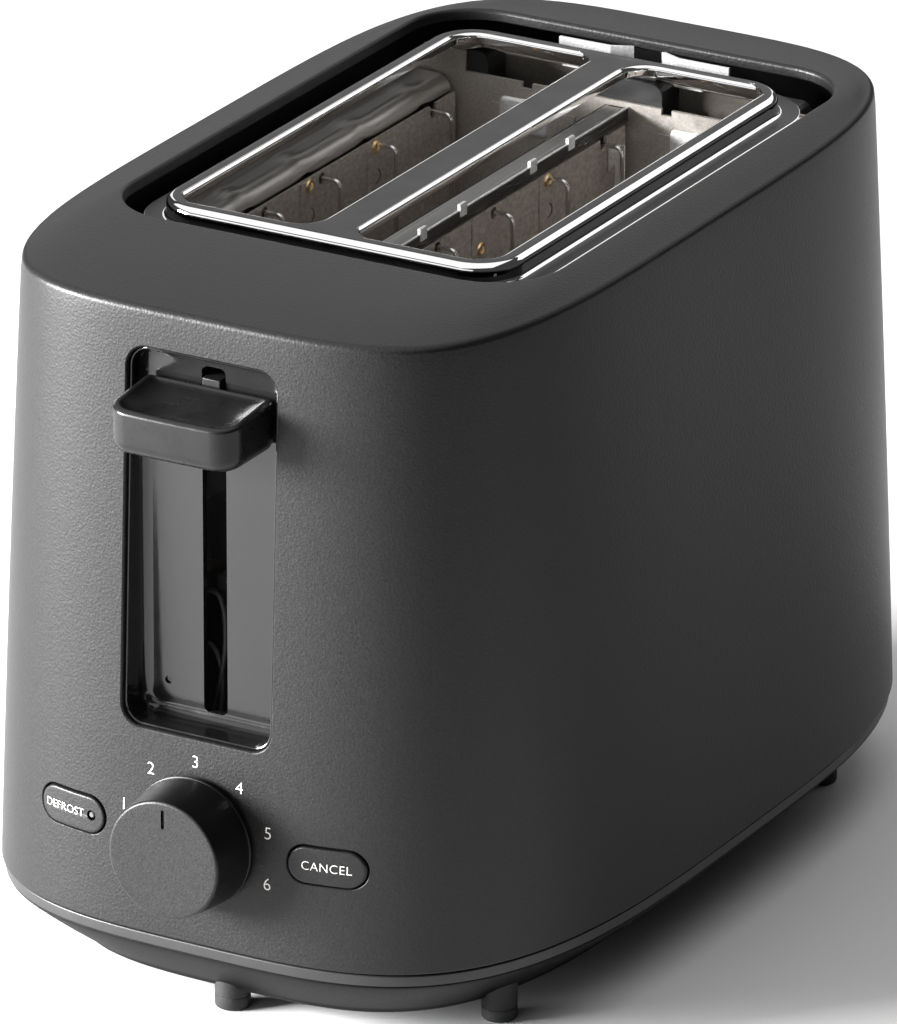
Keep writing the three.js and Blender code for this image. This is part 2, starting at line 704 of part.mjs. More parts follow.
function makeLeverArm() {
  const { halfX, lowZ, tongueZ, highZ, frontY, stepY } = ARM;
  const endY = CARRIAGE.y - GAP;
  return join(slab(halfX, [frontY, lowZ], [endY, tongueZ]), slab(halfX, [stepY, lowZ], [endY, highZ]));
}

function makeCarriagePlate() {
  const { y, sheet, halfX, lowZ, shoulderZ, stemHalfX, topZ } = CARRIAGE;
  const plate = slab(halfX, [y, lowZ], [y + sheet, shoulderZ]);
  const stem = slab(stemHalfX, [y, shoulderZ - 1], [y + sheet, topZ]);
  const shelf = slab(MAGNET.halfX, [MAGNET.frontY, lowZ + 2.3], [y + sheet, lowZ + 3.5]);
  const springTab = slab(3.5, [ROD.y - 4, SPRING.hookZ - 1.5], [y + sheet, SPRING.hookZ - GAP], SPRING.x);
  return join(plate, stem, shelf, springTab);
}

function makeBush(side) {
  const { halfX, lowZ, highZ, bore } = BUSH;
  const block = slab(halfX, [ROD.y - halfX, lowZ], [CARRIAGE.y - GAP, highZ], side * ROD.x);
  return cut(block, bar(bore, "z", [side * ROD.x, ROD.y, 0], lowZ - 1, highZ + 1, 16));
}

const makeArmature = () =>
  slab(MAGNET.halfX, [MAGNET.frontY, CARRIAGE.lowZ], [MAGNET.backY, CARRIAGE.lowZ + 2]);

function makeLiftSpring() {
  const { x, radius, topZ, hookZ } = SPRING;
  const bore = radius - 0.9;
  const profile = [[bore, hookZ], [radius, hookZ], [radius, topZ], [bore, topZ], [bore, hookZ]];
  return turned(profile, "z", 16).translate([x, ROD.y, 0]);
}

const makeGuideRod = (side) =>
  bar(ROD.radius, "z", [side * ROD.x, ROD.y, 0], CHASSIS.floorZ + SHEET + GAP, ROD.topZ, 16);

function makeGuideBracket() {
  const y1 = CHASSIS.frontY - GAP;
  const roof = slab(27, [ROD.y - 5, ROD.topZ + GAP], [y1, ROD.topZ + GAP + SHEET]);
  const flange = slab(27, [y1 - SHEET, ROD.topZ - 8], [y1, ROD.topZ + GAP + SHEET]);
  return join(roof, flange);
}

function makeBreadLifter(side) {
  const { x, sheet, lowZ, highZ, backY, fingers, fingerHalfX, fingerWidth } = LIFTER;
  const y0 = CARRIAGE.y + CARRIAGE.sheet + GAP;
  const blade = slab(sheet / 2, [y0, lowZ], [backY, highZ], side * x);
  const firstY = SLOT.frontY + 6;
  const pitch = (SLOT.backY - SLOT.frontY - 12 - fingerWidth) / (fingers - 1);
  const rests = Array.from({ length: fingers }, (_, i) =>
    slab(
      fingerHalfX,
      [firstY + pitch * i, highZ - 0.1],
      [firstY + pitch * i + fingerWidth, highZ + sheet],
      side * x,
    ),
  );
  return join(blade, ...rests);
}

function makeMagnetCore() {
  const { halfX, frontY, backY, poleZ } = MAGNET;
  const lowZ = CHASSIS.floorZ + SHEET + GAP;
  const block = slab(halfX, [frontY, lowZ], [backY, poleZ]);
  const windows = [-1, 1].map((side) =>
    slab(2.4, [frontY - 1, lowZ + 3], [backY + 1, poleZ + 1], side * 5.2),
  );
  return cut(block, ...windows);
}

function makeMagnetCoil() {
  const { frontY, backY, poleZ } = MAGNET;
  const lowZ = CHASSIS.floorZ + SHEET + GAP + 3 + GAP;
  const outer = slab(5.2 + 2.1, [frontY - 3, lowZ], [backY + 3, poleZ - 1.5]);
  const inner = slab(2.8 + GAP, [frontY - GAP, lowZ - 1], [backY + GAP, poleZ]);
  return cut(outer, inner);
}

// ---- Controls ----

function makeBrowningKnob() {
  const { radius, draft, edge, backY, faceY, bore, boreDepth, z } = KNOB;
  const face = radius - draft;
  const profile = [
    [0, faceY],
    [face - edge, faceY],
    [face - edge * 0.3, faceY + edge * 0.3],
    [face, faceY + edge],
    [radius, backY],
    [bore, backY],
    [bore, backY - boreDepth],
    [0, backY - boreDepth],
  ];
  const mark = slab(POINTER.halfWidth, [faceY - 1, POINTER.lowZ], [faceY + POINTER.depth, POINTER.highZ]);
  return cut(turned(profile, "y", 32), mark).translate([CONTROLS_X, 0, z]);
}

function makePotentiometer() {
  const { bodyRadius, shaftRadius, backY, frontY, tipY } = POT;
  const shaft = [[0, tipY], [shaftRadius, tipY], [shaftRadius, frontY]];
  const profile = [...shaft, [bodyRadius, frontY], [bodyRadius, backY], [0, backY]];
  return turned(profile, "y", 20).translate([CONTROLS_X, 0, KNOB.z]);
}

// A button cap whose face follows the housing a little way out, with a stem towards its switch.
function makeButton(side) {
  const { backY, proud, stemY } = BUTTON;
  const face = housingOutside().translate([0, -proud, 0]);
  const cap = extrude(buttonShape(side, 0), "front", -140, backY).intersect(face);
  const stem = bar(2, "y", [buttonX(side), 0, BUTTON.z], backY - 1, stemY, 12);
  const body = join(cap, stem);
  if (side > 0) return body;
  return cut(body, bar(LIGHT.radius + LIGHT.clearance, "y", [LIGHT.x, 0, BUTTON.z], -140, -110, 16));
}

const makeLightPipe = () => bar(LIGHT.radius, "y", [LIGHT.x, 0, BUTTON.z], LIGHT.frontY, BUTTON.backY, 16);

function makeControlBoard() {
  const { y, thick, halfX, lowZ, highZ } = CONTROL;
  return extrude(roundedShape(-halfX, lowZ, halfX, highZ, 2), "front", y, y + thick);
}

function makeSwitch(side) {
  const { y, switchHalf, switchDepth } = CONTROL;
  const body = slab(
    switchHalf,
    [y - GAP - switchDepth + 1.2, BUTTON.z - switchHalf],
    [y - GAP, BUTTON.z + switchHalf],
    buttonX(side),
  );
  return join(body, bar(1.6, "y", [buttonX(side), 0, BUTTON.z], y - GAP - switchDepth, y - 1, 12));
}

function makeCordGland() {
  const { bore, neck, flange, innerY, wallY, backY, z } = GLAND;
  const profile = [
    [bore, innerY],
    [neck, innerY],
    [neck, wallY],
    [flange, wallY],
    [flange, backY - 1],
    [flange - 1, backY],
    [bore, backY],
    [bore, innerY],
  ];
  return turned(profile, "y", 18).translate([0, 0, z]);
}

// ---- Assembly ----

const toaster = new THREE.Group();

function add(name, body, material) {
  const mesh = new THREE.Mesh(geometryOf(body), MATERIALS[material]);
  mesh.name = name;
  toaster.add(mesh);
}

const SIDES = { left: -1, right: 1 };
const CORNERS = ["front_left", "front_right", "rear_left", "rear_right"];

add("outer_housing", makeOuterHousing(), "housing");
add("base_shell", makeBaseShell(), "base");
["front_centre", ...CORNERS].forEach((place, i) => add(`foot_${place}`, makeFoot(FOOT.places[i]), "foot"));
CORNERS.forEach((place, i) => add(`base_screw_${place}`, makeBaseScrew(BOSS.places[i]), "steel"));
add("crumb_tray", makeCrumbTray(), "steel");

add("top_cover", makeTopCover(), "chrome");
add("front_end_plate", endPlate(CHASSIS.frontY, false), "steel");
add("rear_end_plate", endPlate(CHASSIS.rearY, true), "steel");
add("chassis_floor", makeChassisFloor(), "steel");
add("centre_bracket", makeCentreBracket(), "steel");
add("rear_heat_shield", makeRearHeatShield(), "mica");
for (const [place, ends] of Object.entries(SPACERS)) {
  add(`cover_spacer_${place}`, makeCoverSpacer(ends), "dark");
}
for (const place of guardPlaces()) {
  add(place.name.replace("bread_guard", "heater_board"), makeHeaterBoard(place), "mica");
  add(place.name, makeBreadGuard(place), "chrome");
}

add("front_recess_panel", makeRecessPanel(), "gloss");
add("lever_knob", makeLeverKnob(), "satin");
add("lever_arm", makeLeverArm(), "steel");
add("carriage_plate", makeCarriagePlate(), "steel");
add("armature_plate", makeArmature(), "steel");
add("lift_spring", makeLiftSpring(), "steel");
add("guide_bracket", makeGuideBracket(), "steel");
for (const [name, side] of Object.entries(SIDES)) {
  add(`cover_clip_${name}`, makeCoverClip(side), "chrome");
  add(`side_panel_${name}`, makeSidePanel(side), "steel");
  add(`guide_rod_${name}`, makeGuideRod(side), "chrome");
  add(`carriage_bush_${name}`, makeBush(side), "dark");
  add(`bread_lifter_${name}`, makeBreadLifter(side), "steel");
}
add("magnet_core", makeMagnetCore(), "steel");
add("magnet_coil", makeMagnetCoil(), "copper");

add("control_board", makeControlBoard(), "board");
add("potentiometer", makePotentiometer(), "dark");
add("browning_knob", makeBrowningKnob(), "satin");
add("defrost_button", makeButton(-1), "housing");
add("defrost_light_pipe", makeLightPipe(), "clear");
add("cancel_button", makeButton(1), "housing");
add("defrost_switch", makeSwitch(-1), "dark");
add("cancel_switch", makeSwitch(1), "dark");
add("cord_gland", makeCordGland(), "dark");

toaster.position.y = ORIGIN_SHIFT_Y;

export default toaster;
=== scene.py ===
"""Two-slot pop-up toaster: its looks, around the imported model.

Helpers take millimetres from the middle of the housing, at ground height, with the front face towards -Y.
place() turns such points into metres in the shared frame.
"""
import math

import bmesh
import bpy
import numpy as np
from mathutils import Matrix, Vector


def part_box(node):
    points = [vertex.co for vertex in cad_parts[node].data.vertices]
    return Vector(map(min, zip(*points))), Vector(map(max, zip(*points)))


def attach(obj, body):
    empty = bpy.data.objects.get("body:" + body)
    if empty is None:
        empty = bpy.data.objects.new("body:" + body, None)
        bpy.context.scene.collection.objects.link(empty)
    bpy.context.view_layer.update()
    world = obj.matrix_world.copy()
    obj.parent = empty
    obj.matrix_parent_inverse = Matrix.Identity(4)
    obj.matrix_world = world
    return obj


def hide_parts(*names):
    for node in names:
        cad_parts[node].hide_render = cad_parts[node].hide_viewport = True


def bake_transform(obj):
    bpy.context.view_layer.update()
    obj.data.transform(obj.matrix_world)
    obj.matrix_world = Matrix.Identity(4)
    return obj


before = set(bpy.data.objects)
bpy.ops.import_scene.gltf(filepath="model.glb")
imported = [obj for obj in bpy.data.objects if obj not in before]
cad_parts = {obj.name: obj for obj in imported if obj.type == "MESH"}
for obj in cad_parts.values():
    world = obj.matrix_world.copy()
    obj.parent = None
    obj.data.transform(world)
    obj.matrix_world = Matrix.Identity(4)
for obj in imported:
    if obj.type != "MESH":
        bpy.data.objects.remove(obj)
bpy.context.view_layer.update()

MM = 0.001
HOUSING_LOW, HOUSING_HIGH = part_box("outer_housing")
MIDDLE_Y = (HOUSING_LOW.y + HOUSING_HIGH.y) / 2 / MM
HALF_X = HOUSING_HIGH.x / MM
HALF_Y = (HOUSING_HIGH.y - HOUSING_LOW.y) / 2 / MM

RING = 288  # points round the housing

SEAM_Z, CREASE_Z, RIM_Z = 24.0, 182.3, 184.5
CREASE_HALF_X, CREASE_HALF_Y = 72.0, 121.3
SEAM_POWER, CREASE_POWER = 3.44, 4.3
WALL = 2.5
RIM = {"x": 59.1, "front": -72.5, "back": 98.7, "radius": 18.0}
WINDOW = {"x": 20.7, "low": 76.3, "high": 172.3, "radius": 5.5}
RECESS_Y = -116.3
SLIT = {"x": 3.3, "low": 79.4, "high": 168.4}
BASE = {"top": 23.4, "band": 20.4, "bottom": 5.25, "inset": 0.8, "taper": 17.2, "power": 1.1}
COVER = {"x": 48.7, "front": -65.7, "back": 84.6, "radius": 12.0, "top": 185.1, "fillet": 2.0, "brim": 180.2}
SLOT = {"inner": 5.57, "outer": 43.57, "front": -60.7, "back": 79.7, "radius": 7.0, "lip": 2.7}
KNOB = {"x": 0.45, "z": 50.9, "radius": 16.5, "draft": 1.3, "back": -128.3, "face": -142.2}
BUTTON = {"offset": 35.35, "z": 50.5, "length": 9.75, "height": 4.6, "proud": 0.4, "back": -119.5}
LIGHT_X = -28.9
LEVER = {"x": 17.5, "front": -138.0, "back": -118.0, "low": 150.9, "high": 162.2}
FEET = {"front_centre": (0, -109.2), "front_left": (-59.5, -83), "front_right": (59.5, -83),
        "rear_left": (-59.5, 83), "rear_right": (59.5, 83)}
SCREWS = [f"base_screw_{end}_{side}" for end in ("front", "rear") for side in ("left", "right")]
SCREW_HOLE = {"radius": 3.5, "top": 16, "sleeve": 4.4, "head": 14}
TRAY = {"x": 50.5, "front": -62, "back": 105, "low": 9.95, "high": 14.9}
GLAND = {"z": 34, "bore": 3.6, "neck": 6.7, "flange": 9.2, "inner": 123.5, "wall": 128.8, "back": 132.1}
EYELET = [(0.85, 0.2), (1.05, 0.8), (1.6, 0.8), (1.85, 0.3), (1.85, 0), (0.85, 0), (0.85, 0.2)]
DIGITS = [(-19.6, 55.8), (-12.1, 66.5), (0.2, 70.7), (12.5, 66.6), (20.5, 56.6), (20.6, 43.6)]
PRINT = {"lift": 0.03, "thick": 0.02}


# ---- Points and faces ----

def place(points):
    """Millimetres from the middle of the housing, as metres in the shared frame."""
    moved = np.asarray(points, float).copy()
    moved[:, 1] += MIDDLE_Y
    return moved * MM


def stack(rings, closed=False, low_cap=True, high_cap=True):
    """Points and faces of a skin through rings that have the same number of points."""
    count, rows = len(rings[0]), len(rings)
    points = np.concatenate([np.asarray(ring, float) for ring in rings])
    faces = []
    for row in range(rows if closed else rows - 1):
        a, b = row * count, ((row + 1) % rows) * count
        for i in range(count):
            j = (i + 1) % count
            faces.append((a + i, a + j, b + j, b + i))
    if not closed:
        for wanted, row in ((low_cap, 0), (high_cap, rows - 1)):
            if wanted:
                centre = len(points)
                ring = points[row * count:(row + 1) * count]
                points = np.vstack([points, ring.mean(0)])
                faces += [(centre, row * count + i, row * count + (i + 1) % count) for i in range(count)]
    return points, faces


def merged(skins):
    """Several skins as one."""
    points, faces, start = [], [], 0
    for part_points, part_faces in skins:
        points.append(np.asarray(part_points, float))
        faces += [tuple(i + start for i in face) for face in part_faces]
        start += len(part_points)
    return np.concatenate(points), faces


def even(points, count):
    """A closed outline's points, spread evenly along its length."""
    loop = np.vstack([points, points[:1]])
    length = np.concatenate([[0], np.cumsum(np.linalg.norm(np.diff(loop, axis=0), axis=1))])
    wanted = np.linspace(0, length[-1], count, endpoint=False)
    return np.column_stack([np.interp(wanted, length, loop[:, k]) for k in range(loop.shape[1])])


def superellipse(half_x, half_y, power, count=RING):
    angle = np.linspace(0, 2 * np.pi, 8192, endpoint=False)
    curve = lambda value: np.sign(value) * np.abs(value) ** (2 / power)
    return even(np.column_stack([half_x * curve(np.cos(angle)), half_y * curve(np.sin(angle))]), count)


def rounded(x0, y0, x1, y1, radius, count=None, arc=12, straight=5):
    """Points round a rectangle with rounded corners, from the start of the corner at x1, y1.

    radius is one number, or one for each corner: (x1, y1), (x0, y1), (x0, y0) and (x1, y0).
    """
    radii = [max(r, 0.03) for r in (radius if isinstance(radius, (list, tuple)) else [radius] * 4)]
    ends = [(x1, y1, -1, -1), (x0, y1, 1, -1), (x0, y0, 1, 1), (x1, y0, -1, 1)]
    arcs = []
    for quarter, ((x, y, inward_x, inward_y), r) in enumerate(zip(ends, radii)):
        angles = [math.pi / 2 * (quarter + i / arc) for i in range(arc + 1)]
        arcs.append([(x + inward_x * r + r * math.cos(a), y + inward_y * r + r * math.sin(a)) for a in angles])
    points = []
    for corner, following in zip(arcs, arcs[1:] + arcs[:1]):
        points += corner
        (xa, ya), (xb, yb) = corner[-1], following[0]
        points += [(xa + (xb - xa) * i / straight, ya + (yb - ya) * i / straight) for i in range(1, straight)]
    if count:
        return even(np.array([(x1, (y0 + y1) / 2)] + [point for corner in arcs for point in corner]), count)
    return np.array(points)


def lift(outline, z):
    """A plan outline at a height."""
    return np.column_stack([outline, np.full(len(outline), float(z))])


def facing(outline, y):
    """A front view's outline, X and Z, at a depth."""
    return np.column_stack([outline[:, 0], np.broadcast_to(np.asarray(y, float), len(outline)), outline[:, 1]])


def arc_steps(count, start=0.0, end=90.0):
    return [math.radians(start + (end - start) * i / count) for i in range(count + 1)]


def section(z):
    share = (z - SEAM_Z) / (CREASE_Z - SEAM_Z)
    mix = lambda low, high: low + (high - low) * share
    return mix(HALF_X, CREASE_HALF_X), mix(HALF_Y, CREASE_HALF_Y), mix(SEAM_POWER, CREASE_POWER)


def housing_outline(z, inset=0.0):
    half_x, half_y, power = section(z)
    return superellipse(half_x - inset, half_y - inset, power)


def front_y(x, z):
    """Depth of the housing's front face at a point of the front view."""
    half_x, half_y, power = section(np.asarray(z, float))
    return -half_y * (1 - np.abs(np.asarray(x, float) / half_x) ** power) ** (1 / power)


def on_front(outline, depth):
    """A front view's outline, laid on the housing's curved front face and moved back by a depth."""
    return facing(outline, front_y(outline[:, 0], outline[:, 1]) + depth)


# ---- Objects ----

def make(name, parts, materials, smooth=35.0, pick=None):
    """A mesh object from one or more (points, faces) skins. pick gives a face centre's material number."""
    points, faces = merged([parts] if isinstance(parts, tuple) else parts)
    mesh = bpy.data.meshes.new(name)
    mesh.from_pydata(place(points).tolist(), [], faces)
    tidy = bmesh.new()
    tidy.from_mesh(mesh)
    bmesh.ops.remove_doubles(tidy, verts=tidy.verts, dist=1e-7)
    bmesh.ops.recalc_face_normals(tidy, faces=tidy.faces)
    tidy.to_mesh(mesh)
    tidy.free()
    for item in materials if isinstance(materials, (list, tuple)) else [materials]:
        mesh.materials.append(item)
    if pick:
        for face in mesh.polygons:
            centre = face.center / MM
            face.material_index = pick(centre.x, centre.y - MIDDLE_Y, centre.z, face.normal)
    shade(mesh, smooth)
    obj = bpy.data.objects.new(name, mesh)
    bpy.context.scene.collection.objects.link(obj)
    return obj


def shade(mesh, angle):
    mesh.polygons.foreach_set("use_smooth", [True] * len(mesh.polygons))
    mesh.set_sharp_from_angle(angle=math.radians(angle))


def apply_modifiers(obj, smooth=35.0):
    """Makes the object's modifiers part of its mesh."""
    evaluated = obj.evaluated_get(bpy.context.evaluated_depsgraph_get())
    mesh = bpy.data.meshes.new_from_object(evaluated)
    obj.modifiers.clear()
    obj.data = mesh
    shade(mesh, smooth)


def carve(obj, tools, operation="DIFFERENCE", smooth=35.0):
    """Cuts the object with tool skins, which are then dropped."""
    for i, tool in enumerate(tools):
        cutter = make(f"cutter_{i}", tool, obj.data.materials[0])
        modifier = obj.modifiers.new("carve", "BOOLEAN")
        modifier.operation = operation
        modifier.solver = "EXACT"
        modifier.object = cutter
        apply_modifiers(obj, smooth)
        bpy.data.objects.remove(cutter)


def bevel_edges(obj, width, angle):
    """Rounds edges that are sharper than an angle in degrees, by a width in millimetres."""
    bevel = obj.modifiers.new("soft_edges", "BEVEL")
    bevel.width = width * MM
    bevel.segments = 2
    bevel.limit_method = "ANGLE"
    bevel.angle_limit = math.radians(angle)


def weight_normals(obj):
    """Keeps flat faces flat in the light."""
    modifier = obj.modifiers.new("flat_faces", "WEIGHTED_NORMAL")
    modifier.keep_sharp = True


def soften(obj, width):
    bevel_edges(obj, width, 40.0)
    weight_normals(obj)


def finish_piece(obj, body, slot, *nodes):
    """The piece rides on a body and stands for its CAD nodes, which are hidden. Its slot is not used."""
    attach(obj, body)
    if nodes:
        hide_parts(*nodes)
    return obj


def brick(x0, y0, z0, x1, y1, z1):
    points = [(x, y, z) for z in (z0, z1) for x, y in ((x0, y0), (x1, y0), (x1, y1), (x0, y1))]
    return points, [(0, 3, 2, 1), (4, 5, 6, 7), (0, 1, 5, 4), (1, 2, 6, 5), (2, 3, 7, 6), (3, 0, 4, 7)]


def turned(profile, axis="z", centre=(0, 0, 0), count=96):
    """A skin turned round an axis, from (radius, height) points. A closed profile makes a ring."""
    angle = np.linspace(0, 2 * np.pi, count, endpoint=False)
    rings = []
    for radius, height in profile:
        u, v, w = radius * np.cos(angle), radius * np.sin(angle), np.full(count, float(height))
        order = {"z": (u, v, w), "y": (u, w, v), "x": (w, u, v)}[axis]
        rings.append(np.column_stack(order) + np.asarray(centre, float))
    closed = profile[0] == profile[-1]
    return stack(rings[:-1] if closed else rings, closed=closed)


def tube(path, radius, sides=10, closed=False):
    """A round wire along points."""
    path = np.asarray(path, float)
    if closed:
        before, after = np.roll(path, 1, 0), np.roll(path, -1, 0)
    else:
        before, after = np.vstack([path[:1], path[:-1]]), np.vstack([path[1:], path[-1:]])
    along = after - before
    along /= np.linalg.norm(along, axis=1)[:, None]
    across = np.cross(along[0], (0, 0, 1) if abs(along[0][2]) < 0.9 else (1, 0, 0))
    rings = []
    angle = np.linspace(0, 2 * np.pi, sides, endpoint=False)
    for point, direction in zip(path, along):
        across = across - (across @ direction) * direction
        across /= np.linalg.norm(across)
        other = np.cross(direction, across)
        rings.append(point + radius * (np.outer(np.cos(angle), across) + np.outer(np.sin(angle), other)))
    return stack(rings, closed=closed)


def bend(points, radius, steps=5):
    """A polyline with its corners rounded."""
    points = [np.asarray(p, float) for p in points]
    out = [points[0]]
    for before, corner, after in zip(points, points[1:], points[2:]):
        a, b = before - corner, after - corner
        reach = min(radius, np.linalg.norm(a) / 2, np.linalg.norm(b) / 2)
        start, end = corner + a / np.linalg.norm(a) * reach, corner + b / np.linalg.norm(b) * reach
        for i in range(steps + 1):
            t = i / steps
            out.append((1 - t) ** 2 * start + 2 * t * (1 - t) * corner + t * t * end)
    return out + [points[-1]]


# ---- Materials ----

class Nodes:
    """A material's node tree, built call by call."""

    def __init__(self, name, color, roughness, metallic=0.0, **sockets):
        self.material = bpy.data.materials.new(name)
        self.material.use_nodes = True
        self.tree = self.material.node_tree
        self.shader = self.tree.nodes["Principled BSDF"]
        self.shader.inputs["Base Color"].default_value = (*color, 1)
        self.shader.inputs["Roughness"].default_value = roughness
        self.shader.inputs["Metallic"].default_value = metallic
        for key, value in sockets.items():
            self.shader.inputs[key.replace("_", " ")].default_value = value
        self.coordinates = self.tree.nodes.new("ShaderNodeTexCoord").outputs["Object"]

    def node(self, kind, **inputs):
        made = self.tree.nodes.new(kind)
        for key, value in inputs.items():
            socket = made.inputs[key.replace("_", " ")]
            if hasattr(value, "links"):
                self.tree.links.new(value, socket)
            else:
                socket.default_value = value
        return made

    def stretched(self, scale):
        return self.node("ShaderNodeMapping", Vector=self.coordinates, Scale=scale).outputs["Vector"]

    def noise(self, scale, detail=2.0, vector=None):
        vector = vector or self.coordinates
        return self.node("ShaderNodeTexNoise", Vector=vector, Scale=scale, Detail=detail).outputs["Fac"]

    def cells(self, scale, smooth=True):
        made = self.node("ShaderNodeTexVoronoi", Vector=self.coordinates, Scale=scale)
        if smooth:
            made.feature = "SMOOTH_F1"
        return made.outputs["Distance"]

    def ranged(self, value, low, high, start=0.3, end=0.7):
        return self.node(
            "ShaderNodeMapRange", Value=value, From_Min=start, From_Max=end, To_Min=low, To_Max=high
        ).outputs["Result"]

    def roughness(self, value):
        self.tree.links.new(value, self.shader.inputs["Roughness"])

    def tint(self, value, low, high, start=0.3, end=0.7):
        """The base colour runs from low to high as a pattern's value rises."""
        ramp = self.node("ShaderNodeValToRGB", Fac=value)
        ramp.color_ramp.elements[0].position = start
        ramp.color_ramp.elements[1].position = end
        ramp.color_ramp.elements[0].color = (*low, 1)
        ramp.color_ramp.elements[1].color = (*high, 1)
        self.tree.links.new(ramp.outputs["Color"], self.shader.inputs["Base Color"])

    def bump(self, *heights):
        """Stacks bumps: pairs of a pattern and its height in millimetres."""
        normal = None
        for pattern, height in heights:
            made = self.node("ShaderNodeBump", Height=pattern, Distance=height * MM, Strength=1.0)
            if normal:
                self.tree.links.new(normal, made.inputs["Normal"])
            normal = made.outputs["Normal"]
        self.tree.links.new(normal, self.shader.inputs["Normal"])


def grey(value, warm=0.0):
    return (value * (1 + warm), value, value * (1 - warm))


def grained_plastic(name, tone, roughness, cell, height, level=0.35):
    """Moulded plastic with a fine leather grain."""
    m = Nodes(name, grey(tone), roughness, Specular_IOR_Level=level)
    grain = m.noise(cell, 3.0)
    m.tint(grain, grey(tone * 0.7), grey(tone * 1.3), 0.35, 0.65)
    m.roughness(m.ranged(grain, roughness - 0.03, roughness + 0.03))
    m.bump((m.cells(cell * 0.8), height), (grain, height * 0.7))
    return m.material


def smooth_plastic(name, tone, roughness, level=0.5, fine=0.01, warm=0.0):
    """Plain moulded plastic, with a slightly uneven gloss. level raises or lowers its reflections."""
    m = Nodes(name, grey(tone, warm), roughness, Specular_IOR_Level=level)
    m.tint(m.noise(60.0, 3.0), grey(tone * 0.92, warm), grey(tone * 1.08, warm))
    m.roughness(m.ranged(m.noise(180.0, 3.0), max(roughness - 0.03, 0.02), roughness + 0.04))
    m.bump((m.noise(900.0, 2.0), fine))
    return m.material


def polished_metal(name, tone, roughness, warm=0.0, fine=0.002):
    m = Nodes(name, grey(tone, warm), roughness, 1.0)
    m.tint(m.noise(40.0, 2.0), grey(tone * 0.96, warm), grey(tone, warm))
    m.roughness(m.ranged(m.noise(120.0, 3.0), max(roughness - 0.02, 0.01), roughness + 0.03))
    m.bump((m.noise(500.0, 2.0), fine))
    return m.material


def brushed_metal(name, tone, roughness, along=(8.0, 900.0, 900.0), warm=0.0):
    """Sheet steel with a rolled grain that is long on the axis with the small number."""
    m = Nodes(name, grey(tone, warm), roughness, 0.8)
    lines = m.noise(1.0, 3.0, m.stretched(along))
    m.tint(lines, grey(tone * 0.85, warm), grey(tone * 1.1, warm))
    m.roughness(m.ranged(lines, roughness - 0.08, roughness + 0.1))
    m.bump((lines, 0.01))
    return m.material


def mottled_metal(name, tone, roughness, warm=0.08):
    """Galvanised sheet seen in warm light: small spangles and a fine speckle."""
    m = Nodes(name, grey(tone, warm), roughness, 0.55)
    m.tint(m.noise(1500.0, 3.0), grey(tone * 0.8, warm), grey(tone * 1.1, warm))
    m.roughness(m.ranged(m.cells(260.0, False), roughness - 0.08, roughness + 0.1, 0.1, 0.6))
    m.bump((m.noise(1200.0, 2.0), 0.02))
    return m.material


def mica_sheet(name):
    """Pressed mica: flakes in brown grey, with fine layers along the sheet."""
    m = Nodes(name, grey(0.12, 0.12), 0.5)
    flakes = m.noise(700.0, 5.0, m.stretched((1.0, 1.0, 1.4)))
    m.tint(flakes, (0.24, 0.208, 0.182), (0.4, 0.355, 0.318))
    m.roughness(m.ranged(m.cells(400.0, False), 0.35, 0.65, 0.1, 0.6))
    m.bump((flakes, 0.03))
    return m.material


